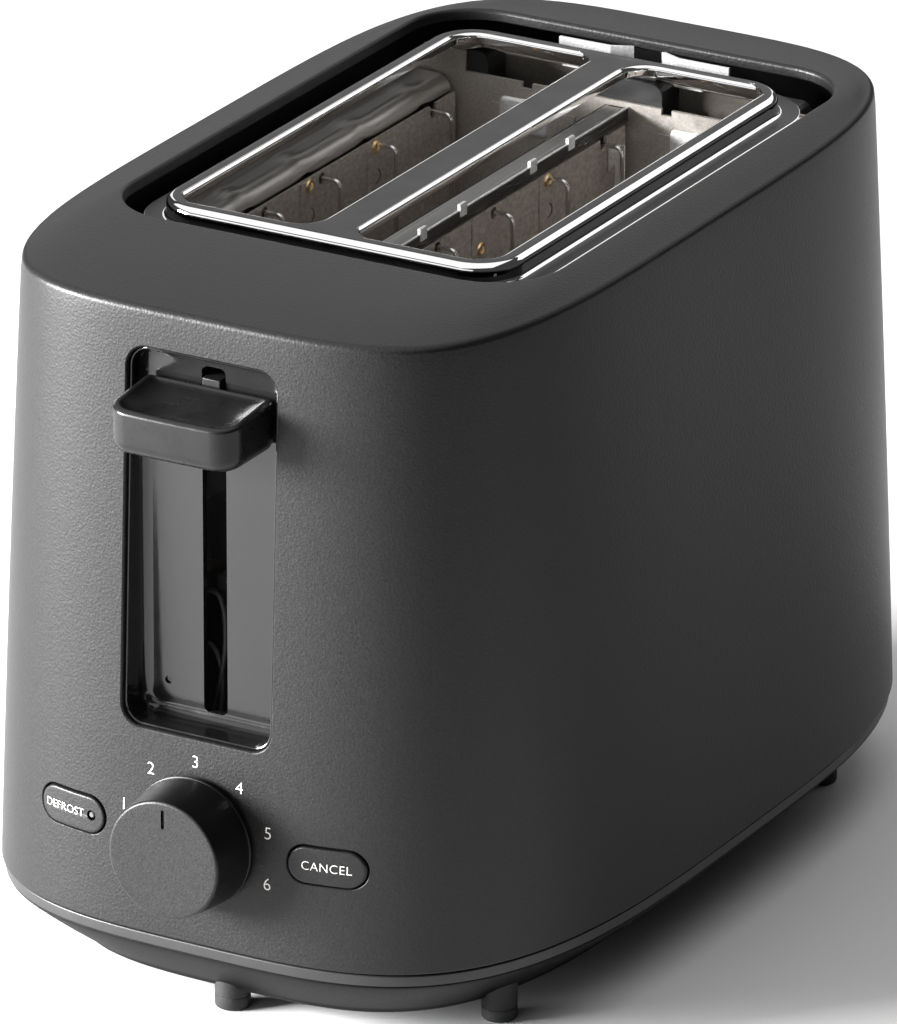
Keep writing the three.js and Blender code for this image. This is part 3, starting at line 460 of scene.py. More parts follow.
def build_materials():
    return {
        "housing": grained_plastic("housing_grain", 0.009, 0.4, 2000.0, 0.045, 0.28),
        "base": grained_plastic("base_grain", 0.005, 0.48, 2000.0, 0.04, 0.06),
        "band": smooth_plastic("trim_band", 0.02, 0.4, level=0.42),
        "gloss": smooth_plastic("gloss_black", 0.005, 0.1),
        "recess": smooth_plastic("recess_gloss", 0.01, 0.13, level=0.6),
        "lever": smooth_plastic("lever_satin", 0.007, 0.28, level=0.34, fine=0.002),
        "knob_side": smooth_plastic("knob_side", 0.004, 0.36, level=0.2),
        "knob_face": grained_plastic("knob_face", 0.012, 0.42, 2300.0, 0.032, 0.28),
        "button": grained_plastic("button_grain", 0.009, 0.4, 2300.0, 0.032, 0.3),
        "rubber": grained_plastic("foot_rubber", 0.012, 0.6, 1800.0, 0.03),
        "dark": smooth_plastic("dark_nylon", 0.012, 0.42),
        # Near-black painted shade meant for the gaps round the button caps.
        "painted_gap_shade": smooth_plastic("painted_gap_shade", 0.002, 0.6),
        "print": smooth_plastic("printed_marks", 0.72, 0.55, level=0.2, warm=0.03),
        "lens": smooth_plastic("light_lens", 0.12, 0.2),
        "chrome": polished_metal("polished_steel", 0.88, 0.05),
        # The cover's steel made dark for its flat top: a painted dark reflection of the surround above.
        "plate": polished_metal("steel_top_painted_reflection", 0.05, 0.38),
        "wire": polished_metal("guard_wire", 0.75, 0.22, 0.02),
        "brass": polished_metal("brass_eyelet", 0.75, 0.3, 0.45),
        "copper": polished_metal("copper_wire", 0.45, 0.35, 0.5),
        "sheet": brushed_metal("sheet_steel", 0.5, 0.36, (900.0, 10.0, 900.0), 0.04),
        "lead": smooth_plastic("lead_insulation", 0.09, 0.4),
        # The lever arm's steel, near black as painted shade inside the slit.
        "shade_painted_steel": brushed_metal("arm_in_painted_shade", 0.02, 0.5, (900.0, 10.0, 900.0)),
        # Dark steel for the centre bracket's walls: a painted dark reflection.
        "bracket": brushed_metal("bracket_steel", 0.1, 0.3, (900.0, 10.0, 900.0), 0.03),
        "sheet_z": brushed_metal("carriage_steel", 0.42, 0.32, (900.0, 900.0, 10.0)),
        "mottled": mottled_metal("end_plate_steel", 0.43, 0.45),
        # Bright zinc, also used as a painted highlight on the centre bracket's top edge and tabs.
        "zinc": mottled_metal("zinc_sheet_and_painted_highlight", 0.85, 0.42, 0.0),
        "shield": mottled_metal("heat_shield", 0.12, 0.5, 0.12),
        "mica": mica_sheet("mica_sheet"),
        "ribbon": brushed_metal("heater_ribbon", 0.3, 0.35, (900.0, 900.0, 900.0), 0.06),
        "board": smooth_plastic("circuit_board", 0.03, 0.35),
    }


M = build_materials()


# ---- Housing ----

def window_outline(grow):
    x, low, high = WINDOW["x"] + grow, WINDOW["low"] - grow, WINDOW["high"] + grow
    return rounded(-x, low, x, high, WINDOW["radius"] + grow, None, 12, 10)


def button_centre(side):
    return KNOB["x"] + side * BUTTON["offset"]


def button_outline(side, grow):
    x, z = button_centre(side), BUTTON["z"]
    length, height = BUTTON["length"] + grow, BUTTON["height"] + grow
    return rounded(x - length, z - height, x + length, z + height, height - 0.01, None, 20, 6)


def edge_cutter(outline, radius, depth_y):
    """A cutter through the front wall that leaves a rounded edge, whose line follows the curved face."""
    rings = [on_front(outline(radius * 2.6), -radius * 2.0)]
    for angle in arc_steps(5, 70.0, 0.0):
        rings.append(on_front(outline(radius * (1 - math.cos(angle))), radius * (1 - math.sin(angle))))
    rings.append(facing(outline(0.0), depth_y))
    return stack(rings)


def rim_outline(grow):
    x, front, back, radius = RIM["x"] + grow, RIM["front"] - grow, RIM["back"] + grow, RIM["radius"] + grow
    return rounded(-x, front, x, back, radius, RING)


def housing_skin():
    """The shell's skin: up the outside, over the crease and the top, round the rim and down the inside."""
    crease, edge, lip = 1.7, 0.5, 1.1
    rings = [lift(housing_outline(SEAM_Z, WALL), SEAM_Z)]
    for angle in arc_steps(3):
        z = SEAM_Z + edge * (1 - math.cos(angle))
        rings.append(lift(housing_outline(z, edge * (1 - math.sin(angle))), z))
    for z in np.linspace(SEAM_Z + 4, CREASE_Z - crease - 3, 19):
        rings.append(lift(housing_outline(z), z))
    for angle in arc_steps(6):
        z = CREASE_Z - crease * (1 - math.sin(angle))
        rings.append(lift(housing_outline(CREASE_Z, crease * (1 - math.cos(angle)) + 0.05), z))
    outer, rim = housing_outline(CREASE_Z, crease + 0.05), rim_outline(lip)
    for share in (0.2, 0.4, 0.6, 0.8, 1.0):
        crown = 0.5 * math.sin(math.pi * share)
        rings.append(lift(outer + (rim - outer) * share, CREASE_Z + (RIM_Z - CREASE_Z) * share + crown * 0.6))
    for angle in arc_steps(5)[1:]:
        rings.append(lift(rim_outline(lip * (1 - math.sin(angle))), RIM_Z - lip * (1 - math.cos(angle))))
    rings.append(lift(rim_outline(0.0), RIM_Z - WALL - 0.2))
    rings.append(lift(rim_outline(0.4), RIM_Z - WALL - 0.6))
    rings.append(lift(housing_outline(CREASE_Z - WALL, WALL + 0.8), CREASE_Z - WALL - 0.8))
    for z in np.linspace(CREASE_Z - WALL - 5, SEAM_Z + 8, 12):
        rings.append(lift(housing_outline(z, WALL), z))
    return stack(rings, closed=True)


def make_housing():
    housing = make("outer_housing_shell", housing_skin(), [M["housing"], M["dark"]])
    carve(housing, [
        edge_cutter(window_outline, 0.7, -100),
        edge_cutter(lambda grow: button_outline(-1, grow + 0.4), 0.45, -100),
        edge_cutter(lambda grow: button_outline(1, grow + 0.4), 0.45, -100),
        turned([(0, -140), (4.5, -140), (4.5, -100), (0, -100)], "y", (KNOB["x"], 0, KNOB["z"]), 48),
        turned([(0, 100), (7.1, 100), (7.1, 140), (0, 140)], "y", (0, 0, GLAND["z"]), 48),
    ])
    weight_normals(housing)
    finish_piece(housing, "chassis", "housing_plastic", "outer_housing")


# ---- Base ----

def base_inset(z):
    share = max(0.0, (BASE["band"] - z) / (BASE["band"] - BASE["bottom"]))
    return BASE["inset"] + BASE["taper"] * share ** BASE["power"]


def plan(inset, z):
    """The seam's outline, drawn in and set at a height."""
    return lift(superellipse(HALF_X - inset, HALF_Y - inset, SEAM_POWER), z)


def base_skin():
    """Down the trim band, over a groove, down the tapered bowl, across the bottom and up the inside."""
    top, band, bottom, inset = BASE["top"], BASE["band"], BASE["bottom"], BASE["inset"]
    edge, groove, foot = 0.4, 0.3, 1.8
    steps = [(inset + edge * (1 - math.sin(a)), top - edge * (1 - math.cos(a))) for a in arc_steps(3)]
    steps += [(inset, band + 0.5), (inset + 0.05, band + 0.3)]
    steps += [(inset + groove, band + 0.2), (inset + groove, band)]
    steps += [(base_inset(band - 0.3) + 0.02, band - 0.15)]
    steps += [(base_inset(z), z) for z in np.linspace(band - 0.5, bottom + foot, 14)]
    low = base_inset(bottom + foot)
    steps += [(low + foot * 0.9 * (1 - math.cos(a)) + 0.8 * math.sin(a), bottom + foot * (1 - math.sin(a)))
              for a in arc_steps(5)[1:]]
    rings = [plan(step, z) for step, z in steps]
    rings += [lift(superellipse(30, 60, 2.6), bottom)]
    outside = [plan(inset + WALL, top)] + rings
    inside = [plan(base_inset(z) + WALL, z + 2) for z in (18.0, 14.0, 10.0, bottom + 1)]
    return stack(list(reversed(inside)) + outside)


def screw_centres():
    """Where the CAD's base screws stand, on the ground."""
    boxes = [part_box(name) for name in SCREWS]
    return [((low.x + high.x) / 2 / MM, (low.y + high.y) / 2 / MM - MIDDLE_Y, 0) for low, high in boxes]


def make_base():
    base = make("base_bowl", base_skin(), [M["base"], M["band"]],
                pick=lambda x, y, z, n: 1 if z > BASE["band"] + 0.25 else 0)
    vents = [brick(side * 18 - 12, 7 * k - 94, 0, side * 18 + 12, 7 * k - 91, 9.5)
             for side in (-1, 1) for k in range(5)]
    radius, top, sleeve, head = SCREW_HOLE.values()
    hole = [(0, 0), (radius, 0), (radius, top), (0, top)]
    wall = [(radius - 0.1, 0), (sleeve, 0), (sleeve, head), (radius - 0.1, head), (radius - 0.1, 0)]
    holes = [turned(hole, "z", centre, 32) for centre in screw_centres()]
    mouth = brick(-51.7, 60, 9.5, 51.7, 140, 17.5)
    carve(base, [merged(vents), merged(holes), mouth])
    tubes = [turned(wall, "z", centre, 32) for centre in screw_centres()]
    sleeves = make("sleeves", tubes, [M["base"], M["band"]])
    within = [plan(base_inset(z) + 0.4, z) for z in np.linspace(BASE["bottom"] + 0.4, BASE["band"], 8)]
    carve(sleeves, [stack(within)], "INTERSECT")
    join_objects(base, sleeves)
    weight_normals(base)
    finish_piece(base, "chassis", "base_plastic", "base_shell")


def make_feet():
    """Round rubber feet with a hollow sole and a parting groove."""
    edge = [(4.4 - 0.9 * (1 - math.sin(a)), 0.9 * (1 - math.cos(a))) for a in arc_steps(4)]
    groove = [(4.4, 3.2), (4.25, 3.35), (4.25, 3.6), (4.4, 3.75)]
    profile = [(0, 0.25), (2.9, 0.25), (3.1, 0)] + edge + groove + [(4.5, 13), (0, 13)]
    for name, (x, y) in FEET.items():
        foot = make(f"foot_{name}_post", turned(profile, "z", (x, y, 0), 48), M["rubber"])
        finish_piece(foot, "chassis", "foot_rubber", f"foot_{name}")


def make_tray():
    """Crumb tray: a shallow pan with rolled sides, and a face that continues the bowl's slope."""
    face = make("crumb_tray_pan", brick(-51.2, 104, 9.95, 51.2, 140, 17.05), [M["sheet"], M["base"]])
    carve(face, [stack([plan(base_inset(z), z) for z in (6.0, 9.0, 12.0, 15.0, 19.0)])], "INTERSECT")
    carve(face, [turned([(0, -16), (9, -16), (9, 16), (0, 16)], "x", (0, 132, 4.4), 48)])
    for polygon in face.data.polygons:
        polygon.material_index = 1
    x, front, back, low, high = TRAY.values()
    level = lambda inset, z: lift(rounded(-x + inset, front + inset, x - inset, back - inset, 4.5 - inset), z)
    inside = [(4, 10.7), (1.4, 10.8), (0.8, 11.4), (0.7, 14.6), (0.5, high), (0.1, high), (0, 14.6)]
    outside = [(0, 10.6), (1, low), (4, low)]
    pan = make("pan_skin", stack([level(inset, z) for inset, z in inside + outside]), [M["sheet"], M["base"]])
    tray = join_objects(face, pan)
    soften(tray, 0.3)
    finish_piece(tray, "crumb_tray", "sheet_steel", "crumb_tray")


def join_objects(first, *others):
    """Adds the other meshes to the first object. Their material slots are the same."""
    grown = bmesh.new()
    for obj in (first, *others):
        grown.from_mesh(obj.data)
    grown.to_mesh(first.data)
    grown.free()
    for obj in others:
        bpy.data.objects.remove(obj)
    return first


# ---- Top cover ----

def cover_outline(grow):
    x, front, back = COVER["x"] + grow, COVER["front"] - grow, COVER["back"] + grow
    return rounded(-x, front, x, back, COVER["radius"] + grow, None, 20, 6)


def slot_outline(side, grow):
    low, high = sorted((side * SLOT["inner"], side * SLOT["outer"]))
    return rounded(low - grow, SLOT["front"] - grow, high + grow, SLOT["back"] + grow, SLOT["radius"] + grow)


def lip_strip(points, radius, drop, thick):
    """A bent edge along a path: it leaves the plate's top, turns down and hangs as a flange."""
    points = np.asarray(points, float)
    along = np.gradient(points, axis=0)
    along /= np.linalg.norm(along, axis=1)[:, None]
    inward = np.column_stack([along[:, 1], -along[:, 0]])
    top = COVER["top"]
    profile = [(radius * (1 - math.sin(a)), -radius * (1 - math.cos(a))) for a in arc_steps(7)]
    profile += [(0, -drop + 0.3), (0.1, -drop + 0.08), (0.35, -drop), (thick, -drop + 0.1)]
    profile += [(thick, -radius), (radius, -thick), (radius + 0.3, -thick)]
    profile += [(radius + 0.3, -0.05), (radius, -0.02)]
    lines = [lift(points - inward * out, top + rise) for out, rise in profile]
    return stack(list(np.array(lines).transpose(1, 0, 2)))


def slot_lips(side):
    """Two bent edges for one slot, each round one corner. They stop short of the other two corners."""
    low, high = sorted((side * SLOT["inner"], side * SLOT["outer"]))
    front, back, radius, stop = SLOT["front"], SLOT["back"], SLOT["radius"], 3.5

    def corner(x, y, start):
        return [(x + radius * math.cos(a), y + radius * math.sin(a)) for a in arc_steps(10, start, start - 90)]

    long, short = back - radius - front - 4, high - low - radius - stop
    left = [(low, front + 4 + long * i / 12) for i in range(12)]
    rear = corner(low + radius, back - radius, 180)
    across = [(low + radius + short * i / 6, back) for i in range(1, 7)]
    right = [(high, back - 4 - long * i / 12) for i in range(12)]
    near = corner(high - radius, front + radius, 0)
    home = [(high - radius - short * i / 6, front) for i in range(1, 7)]
    return [lip_strip(path, 1.1, SLOT["lip"], 0.7) for path in (left + rear + across, right + near + home)]


def make_cover():
    top, turn, sheet, brim = COVER["top"], COVER["fillet"], 0.8, COVER["brim"]
    metals = [M["chrome"], M["plate"]]
    level = lambda grow, z: lift(cover_outline(grow), z)
    rings = [level(5.3, brim - 0.35), level(5.5, brim - 0.15), level(5.3, brim)]
    rings += [level(0.9 * (1 - math.sin(a)), brim + 0.9 * (1 - math.cos(a))) for a in arc_steps(4)]
    rings += [level(0, top - turn - 0.4)]
    rings += [level(-turn * (1 - math.cos(a)), top - turn * (1 - math.sin(a))) for a in arc_steps(8)]
    rings += [level(-turn - 1.2, top)]
    under = [level(-turn - 1.2, top - sheet), level(-turn, top - sheet), level(-sheet, top - turn),
             level(-sheet, brim + 0.4), level(-0.2, brim - sheet), level(5.2, brim - sheet + 0.1)]
    shell = stack(rings + under, closed=True)
    # Faces that point straight up take the dark steel: a painted dark reflection on the flat top and brim; the
    # rounded edges stay bright chrome.
    cover = make("steel_cover", shell, metals, pick=lambda x, y, z, n: 1 if n.z > 0.995 else 0)
    plate_skin = stack([level(-turn - 0.9, top - sheet), level(-turn - 0.9, top - 0.02)])
    # The plate's top takes the same painted dark reflection.
    plate = make("cover_plate", plate_skin, metals, pick=lambda x, y, z, n: 1 if n.z > 0.9 else 0)
    slots = [slot_outline(side, 1.1) for side in (-1, 1)]
    carve(plate, [stack([lift(slot, top - 5), lift(slot, top + 2)]) for slot in slots])
    lips = make("cover_lips", merged(slot_lips(-1) + slot_lips(1)), metals)
    joined = join_objects(cover, plate, lips)
    shade(joined.data, 40)
    weight_normals(joined)
    finish_piece(joined, "chassis", "polished_steel", "top_cover")


# ---- Lever, recess and carriage ----

def make_recess():
    """A deep tub behind the window, with a rounded foot where its walls meet the back, and the lever's slit."""
    foot, flat = 2.6, window_outline(-4.6)
    rings = []
    for grow, depth in ((-0.1, 3.0), (-0.1, 1.5), (-0.25, 1.2), (-0.5, 1.1), (-0.75, 1.2), (-0.9, 1.5)):
        rings.append(on_front(window_outline(grow), depth))
    rings.append(facing(window_outline(-1.0), RECESS_Y - foot))
    for angle in arc_steps(6)[1:]:
        outline = window_outline(-1.0 - foot * (1 - math.cos(angle)))
        rings.append(facing(outline, RECESS_Y - foot * (1 - math.sin(angle))))
    rings.append(facing(flat, RECESS_Y))
    back = [facing(flat, RECESS_Y + 1.8), facing(window_outline(0.8), RECESS_Y + 1.8),
            facing(window_outline(0.8), RECESS_Y - 1.5), facing(window_outline(-0.05), -120.6)]
    panel = make("recess_tub", stack(rings[::-1] + back[::-1]), [M["gloss"], M["recess"]],
                 pick=lambda x, y, z, n: 1 if n.y < -0.35 and y > RECESS_Y - foot else 0)
    slit = rounded(-SLIT["x"], SLIT["low"], SLIT["x"], SLIT["high"], 1.6)
    dimple = [(0, RECESS_Y - 1), (1.0, RECESS_Y - 1), (1.0, RECESS_Y + 0.6), (0, RECESS_Y + 0.6)]
    carve(panel, [stack([facing(slit, -140), facing(slit, -100)]), turned(dimple, "y", (-13.2, 0, 85.5), 32)])
    weight_normals(panel)
    finish_piece(panel, "chassis", "gloss_plastic", "front_recess_panel")


def lever_outline(inset):
    """Plan of the thumb piece: wide front corners, square back corners and a gently bulging front edge."""
    half, front, back = LEVER["x"] - inset, LEVER["front"] + inset, LEVER["back"] - inset * 0.4
    corner = max(6.0 - inset, 1.5)
    outline = rounded(-half, front, half, back, (1.0, 1.0, corner, corner), None, 12, 12)
    forward = np.clip((back - outline[:, 1]) / (back - front), 0, 1) ** 3
    outline[:, 1] -= 0.5 * forward * (1 - (outline[:, 0] / LEVER["x"]) ** 2)
    return outline


def make_lever():
    """The thumb piece, whose top slopes up to the back and is dished, and the steel arm that carries it."""
    low, high, slope, tip = LEVER["low"], LEVER["high"], 2 / 20.5, LEVER["front"] - 0.5
    under, over = 3.4, 1.0
    dish = ((1.5, 0.0), (1.8, 0.05), (2.2, 0.22), (2.8, 0.45),
            (3.6, 0.66), (4.8, 0.82), (6.2, 0.9), (8.0, 0.92))

    def ring(inset, z, share):
        outline = lever_outline(inset)
        return np.column_stack([outline, z + slope * share * (outline[:, 1] - tip)])

    rings = [ring(8.0, low, 0), ring(5.5, low, 0)]
    rings += [ring(under * (1 - math.sin(a)), low + under * (1 - math.cos(a)), 0) for a in arc_steps(8)]
    rings += [ring(0.0, 157.5, 0.5)]
    rings += [ring(over * (1 - math.cos(a)), high - over * (1 - math.sin(a)), 1) for a in arc_steps(5)]
    rings += [ring(inset, high - drop, 1) for inset, drop in dish]
    lever = make("lever_thumb_piece", stack(rings), [M["lever"]], 50)
    carve(lever, [brick(-2.8, -132.3, 154.7, 2.8, -110, 160.3)], smooth=50)
    weight_normals(lever)
    finish_piece(lever, "carriage", "knob_plastic", "lever_knob")
    side_view = [(-132, 155), (-84.3, 155), (-84.3, 165.8), (-117.6, 165.8), (-117.6, 160), (-132, 160)]
    rings = [np.array([(x, y, z) for y, z in side_view]) for x in (-2.5, 2.5)]
    points, faces = stack(rings, low_cap=False, high_cap=False)
    faces += [(0, 1, 4, 5), (1, 2, 3, 4), (6, 7, 10, 11), (7, 8, 9, 10)]
    # The arm is given near-black steel: painted shade inside the slit.
    arm = make("lever_arm_plate", (points, faces), M["shade_painted_steel"])
    soften(arm, 0.3)
    finish_piece(arm, "carriage", "sheet_steel", "lever_arm")


def make_spring():
    """The lift spring: an open coil. The real one stretches as the carriage goes down; this one stays as drawn.
    """
    x, y, low, high, radius, turns = 9.0, -92.0, 138.0, 171.7, 2.75, 15
    steps, rise = turns * 16, high - low - 4
    path = []
    for i in range(steps + 1):
        angle = 2 * math.pi * turns * i / steps
        path.append((x + radius * math.cos(angle), y + radius * math.sin(angle), low + 2 + rise * i / steps))
    spring = make("lift_spring_coil", tube(path, 0.4, 8), M["wire"])
    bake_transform(spring)
    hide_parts("lift_spring")


def make_guards():
    """Bread guards: five hooked uprights on a pivot wire, with one brace."""
    places = {"left_outer": (-46, 1, 0), "left_inner": (-3, -1, 7),
              "right_inner": (3, 1, 0), "right_outer": (46, -1, 7)}
    for name, (board, towards, shift) in places.items():
        x, tip = board + towards * 5.7, board - towards * 5
        ys = [-43.4 + 27.9 * i - shift for i in range(5)]
        wires = [tube(bend([(tip, y, 166.6), (x, y, 166.6), (x, y, 46)], 2.4, 6), 0.6, 10) for y in ys]
        wires.append(tube([(x, -68.2, 46), (x, 84.5, 46)], 0.6, 10))
        wires.append(tube([(x, ys[0] - 3, 108), (x, ys[-1] + 3, 108)], 0.6, 10))
        guard = make(f"bread_guard_{name}_wires", wires, M["wire"], 60)
        finish_piece(guard, f"bread_guard_{name}", "polished_steel", f"bread_guard_{name}")


def make_centre_bracket():
    """A thin channel along the top of the middle, on two posts, with an upright edge and folded tabs. The walls
    are dark steel as a painted dark reflection; the top edge and tabs are bright zinc as painted highlights.
    """
    half, low, high, front, back = 3.3, 168.7, 172.5, -64.9, 81.2
    # The walls and posts: dark steel, a painted dark reflection.
    shaded_wall_parts = [brick(-half, front, high - 0.9, half - 0.6, back, high - 0.3)]
    shaded_wall_parts += [brick(-half, front, low, -half + 0.6, back, high - 0.3)]
    shaded_wall_parts += [brick(-2, y0, 19.3, 2, y1, high - 0.3) for y0, y1 in ((front, front + 2), (back - 1, back))]
    shaded_wall_parts += [brick(half - 0.55, front, low, half, back, high - 0.35)]
    # The top edge and the tabs: bright zinc, painted highlights on the same sheet.
    bright = [brick(half - 0.55, front, high - 0.35, half, back, high)]
    bright += [brick(half - 0.7, y - 1.6, high - 1.9, half + 0.3, y + 1.6, high + 1.4)
               for y in (-42, -22.5, -2.8, 32.3, 51.6)]
    parts = [make("bracket_part", part, [M["bracket"], M["zinc"]]) for part in shaded_wall_parts + bright]
    for part in parts[len(shaded_wall_parts):]:
        part.data.polygons.foreach_set("material_index", [1] * len(part.data.polygons))
    bracket = join_objects(*parts)
    bracket.name = "centre_bracket_channel"
    soften(bracket, 0.15)
    finish_piece(bracket, "chassis", "sheet_steel", "centre_bracket")


def make_side_panels():
    """Side panels of the chassis: a wall and a ribbed shelf that bends down towards the heater board."""
    wall, top, bottom, front, back = 60, 172.2, 19.3, -64.9, 80.4
    shelf, turn, sheet = 51.5, 4.0, 0.8

    def arc(radius):
        return [(shelf - radius * math.sin(a), top - turn + radius * math.cos(a)) for a in arc_steps(8)]

    outer = [(wall, bottom), (wall, top - 1.5), (wall - 0.4, top - 0.4), (wall - 1.5, top), (55.5, top)]
    outer += arc(turn)
    inner = arc(turn - sheet)[::-1] + [(55.5, top - sheet), (wall - 1, top - sheet), (wall - 1, bottom)]
    profile = np.array(outer + inner)
    pitch = (back - front) / 5
    ribs = [front + pitch * (i + 0.5) for i in range(5)]
    stations = np.linspace(front, back, 98)
    for side, name in ((-1, "left"), (1, "right")):
        rings = []
        for y in stations:
            rise = 0.7 * sum(math.exp(-((y - rib) / 3.0) ** 2) for rib in ribs)
            share = np.clip((wall - 1.2 - profile[:, 0]) / 2, 0, 1) * (profile[:, 1] > 160)
            raised = profile[:, 1] + rise * share
            rings.append(np.column_stack([side * profile[:, 0], np.full(len(profile), y), raised]))
        points, faces = stack(rings, low_cap=False, high_cap=False)
        count, half = len(profile), len(outer)
        for start in (0, count * (len(stations) - 1)):
            for i in range(half - 1):
                faces.append((start + i, start + i + 1, start + count - 2 - i, start + count - 1 - i))
        panel = make(f"side_panel_{name}_sheet", (points, faces), M["sheet"], 40)
        finish_piece(panel, "chassis", "sheet_steel", f"side_panel_{name}")


def make_board_details():
    """Brass eyelets and lap strips on the two boards that face +X, and heater ribbons on all four."""
    rings, strips, marks, ribbons = [], [], [], []
    for face_x, places in ((-45.6, ((38.7, 166.6), (5.8, 166.6))), (3.4, ((39.1, 166.4), (5.3, 159.2)))):
        for y, z in places:
            eyelet = [(radius, face_x + rise) for radius, rise in EYELET]
            rings.append(turned(eyelet, "x", (0, y, z), 32))
            strips.append(brick(face_x, y - 4.1, 60, face_x + 0.3, y + 3.2, 168.2))
            arc = [(face_x + 0.3, y + 0.4 + 1.8 * math.sin(a), z - 8 + 1.8 * math.cos(a))
                   for a in arc_steps(10, 20, 200)]
            marks.append(tube(arc, 0.16, 6))
    for x in (-46.55, -45.45, -3.55, -2.45, 2.45, 3.55, 45.45, 46.55):
        for i in range(11):
            z = 40 + 9.5 * i
            ribbons.append(brick(x - 0.05, -60, z, x + 0.05, 77, z + 1.3))
    pieces = (("board_eyelets", rings, "brass", "sheet_steel"),
              ("board_lap_strips", strips, "mica", "mica_sheet"),
              ("board_marks", marks, "dark", "mica_sheet"),
              ("heater_ribbons", ribbons, "ribbon", "copper_wire"))
    for name, parts, material, slot in pieces:
        finish_piece(make(name, parts, M[material]), "chassis", slot)


def make_lead_wires():
    """Two insulated leads that loop behind the lever's slit, clear of the arm's path."""
    high = [(-14, -107, 66.5), (-12, -105, 96), (-10.5, -104, 105), (-6.6, -104, 105.4),
            (-4.7, -104, 100), (-4.6, -104, 90), (-6, -105, 80), (-9, -107, 66.5)]
    low = [(-20, -107, 66.5), (-15, -105, 88), (-9.3, -104, 92), (-7, -104, 89.4),
           (-5.2, -104, 84), (-5, -106, 74), (-5.5, -108, 66.5)]
    wires = [tube(bend(path, 5, 8), 0.65, 10) for path in (high, low)]
    finish_piece(make("lead_wires", wires, M["lead"], 60), "chassis", "dark_plastic")


def make_plate_details():
    """Raised pads on the rear end plate, and a folded flag of bright sheet in the right slot."""
    pads = []
    for x0, x1, z0, z1 in ((-33.5, -19.5, 160.0, 169.3), (15.5, 28.5, 159.0, 169.0)):
        rings = []
        for inset, y in ((0, 81.0), (0.1, 80.6), (0.5, 80.2), (1.0, 80.1)):
            rings.append(facing(rounded(x0 + inset, z0 + inset, x1 - inset, z1 - inset, 1.6 - inset), y))
        pads.append(stack(rings))
    outline = np.array([(3.7, 158.8), (3.7, 165.8), (8.2, 166.6), (8.2, 150.0), (5.6, 150.0), (5.6, 161.2)])
    flag = stack([facing(outline, 70.2), facing(outline, 70.8)], low_cap=False, high_cap=False)
    flag = (flag[0], flag[1] + [(5, 4, 3, 2), (5, 2, 1, 0), (6, 7, 11), (7, 8, 11), (8, 9, 10, 11)])
    for name, parts in (("end_plate_pads", pads), ("terminal_flag", [flag])):
        piece = make(name, parts, M["zinc"])
        finish_piece(piece, "chassis", "sheet_steel")


# ---- Controls ----

def make_knob():
    """The browning knob, with a groove near its back edge and a pointer cut into its face."""
    radius, draft, edge, face, back = KNOB["radius"], KNOB["draft"], 0.8, KNOB["face"], KNOB["back"]
    rim = radius - draft
    profile = [(0, face)] + [(rim * s, face) for s in (0.3, 0.6, 0.85)] + [(rim - edge, face)]
    profile += [(rim - edge * (1 - math.sin(a)), face + edge * (1 - math.cos(a))) for a in arc_steps(5)[1:]]
    profile += [(rim + draft / 2, (face + back) / 2), (radius - 0.1, back - 1.2), (radius - 0.35, back - 1.0)]
    profile += [(radius - 0.35, back - 0.8), (radius, back - 0.6), (radius, back)]
    profile += [(3.3, back), (3.3, back - 10), (0, back - 10)]
    centre = (KNOB["x"], 0, KNOB["z"])
    knob = make("browning_knob_cap", turned(profile, "y", centre, 160), [M["knob_side"], M["knob_face"]],
                pick=lambda x, y, z, n: 1 if y < face + 0.3 else 0)
    mark = rounded(KNOB["x"] - 0.45, KNOB["z"] + 8.2, KNOB["x"] + 0.45, KNOB["z"] + 13.2, 0.44, 40, 8)
    carve(knob, [stack([facing(mark, face - 1), facing(mark, face + 0.6)])])
    weight_normals(knob)
    finish_piece(knob, "browning_knob", "knob_plastic", "browning_knob")


def make_button(side, name):
    """A button cap that follows the housing's face, on a round stem. The left one has a hole for the light."""
    edge, back = 0.5, BUTTON["back"]
    rings = [facing(button_outline(side, 0), back)]
    steps = [(0.0, edge)] + [(-edge * (1 - math.cos(a)), edge * (1 - math.sin(a))) for a in arc_steps(4)[1:]]
    steps += [(-inset, 0.0) for inset in (0.9, 1.6, 2.4, 3.2, 4.0)]
    for grow, depth in steps:
        points = button_outline(side, grow)
        rings.append(facing(points, front_y(points[:, 0], points[:, 1]) - BUTTON["proud"] + depth))
    # The second slot holds the near-black painted gap shade; no face here is given it.
    button = make(f"{name}_cap", stack(rings), [M["button"], M["painted_gap_shade"]])
    stem_profile = [(0, back - 1), (2, back - 1), (2, -116.4), (0, -116.4)]
    stem = make("stem", turned(stem_profile, "y", (button_centre(side), 0, BUTTON["z"]), 32),
                [M["button"], M["painted_gap_shade"]])
    if side < 0:
        hole = [(0, -140), (1.3, -140), (1.3, -110), (0, -110)]
        carve(button, [turned(hole, "y", (LIGHT_X, 0, BUTTON["z"]), 48)])
    join_objects(button, stem)
    weight_normals(button)
    finish_piece(button, name, "housing_plastic", name)


def make_light():
    """The light pipe's domed end, set into the defrost button."""
    y, back = float(front_y(LIGHT_X, BUTTON["z"])) - BUTTON["proud"], BUTTON["back"]
    dome = [(0, y + 0.1), (0.5, y + 0.15), (0.7, y + 0.35), (0.75, y + 0.7), (0.75, back), (0, back)]
    light = make("defrost_light_lens", turned(dome, "y", (LIGHT_X, 0, BUTTON["z"]), 32), M["lens"])
    finish_piece(light, "defrost_button", "clear_plastic", "defrost_light_pipe")


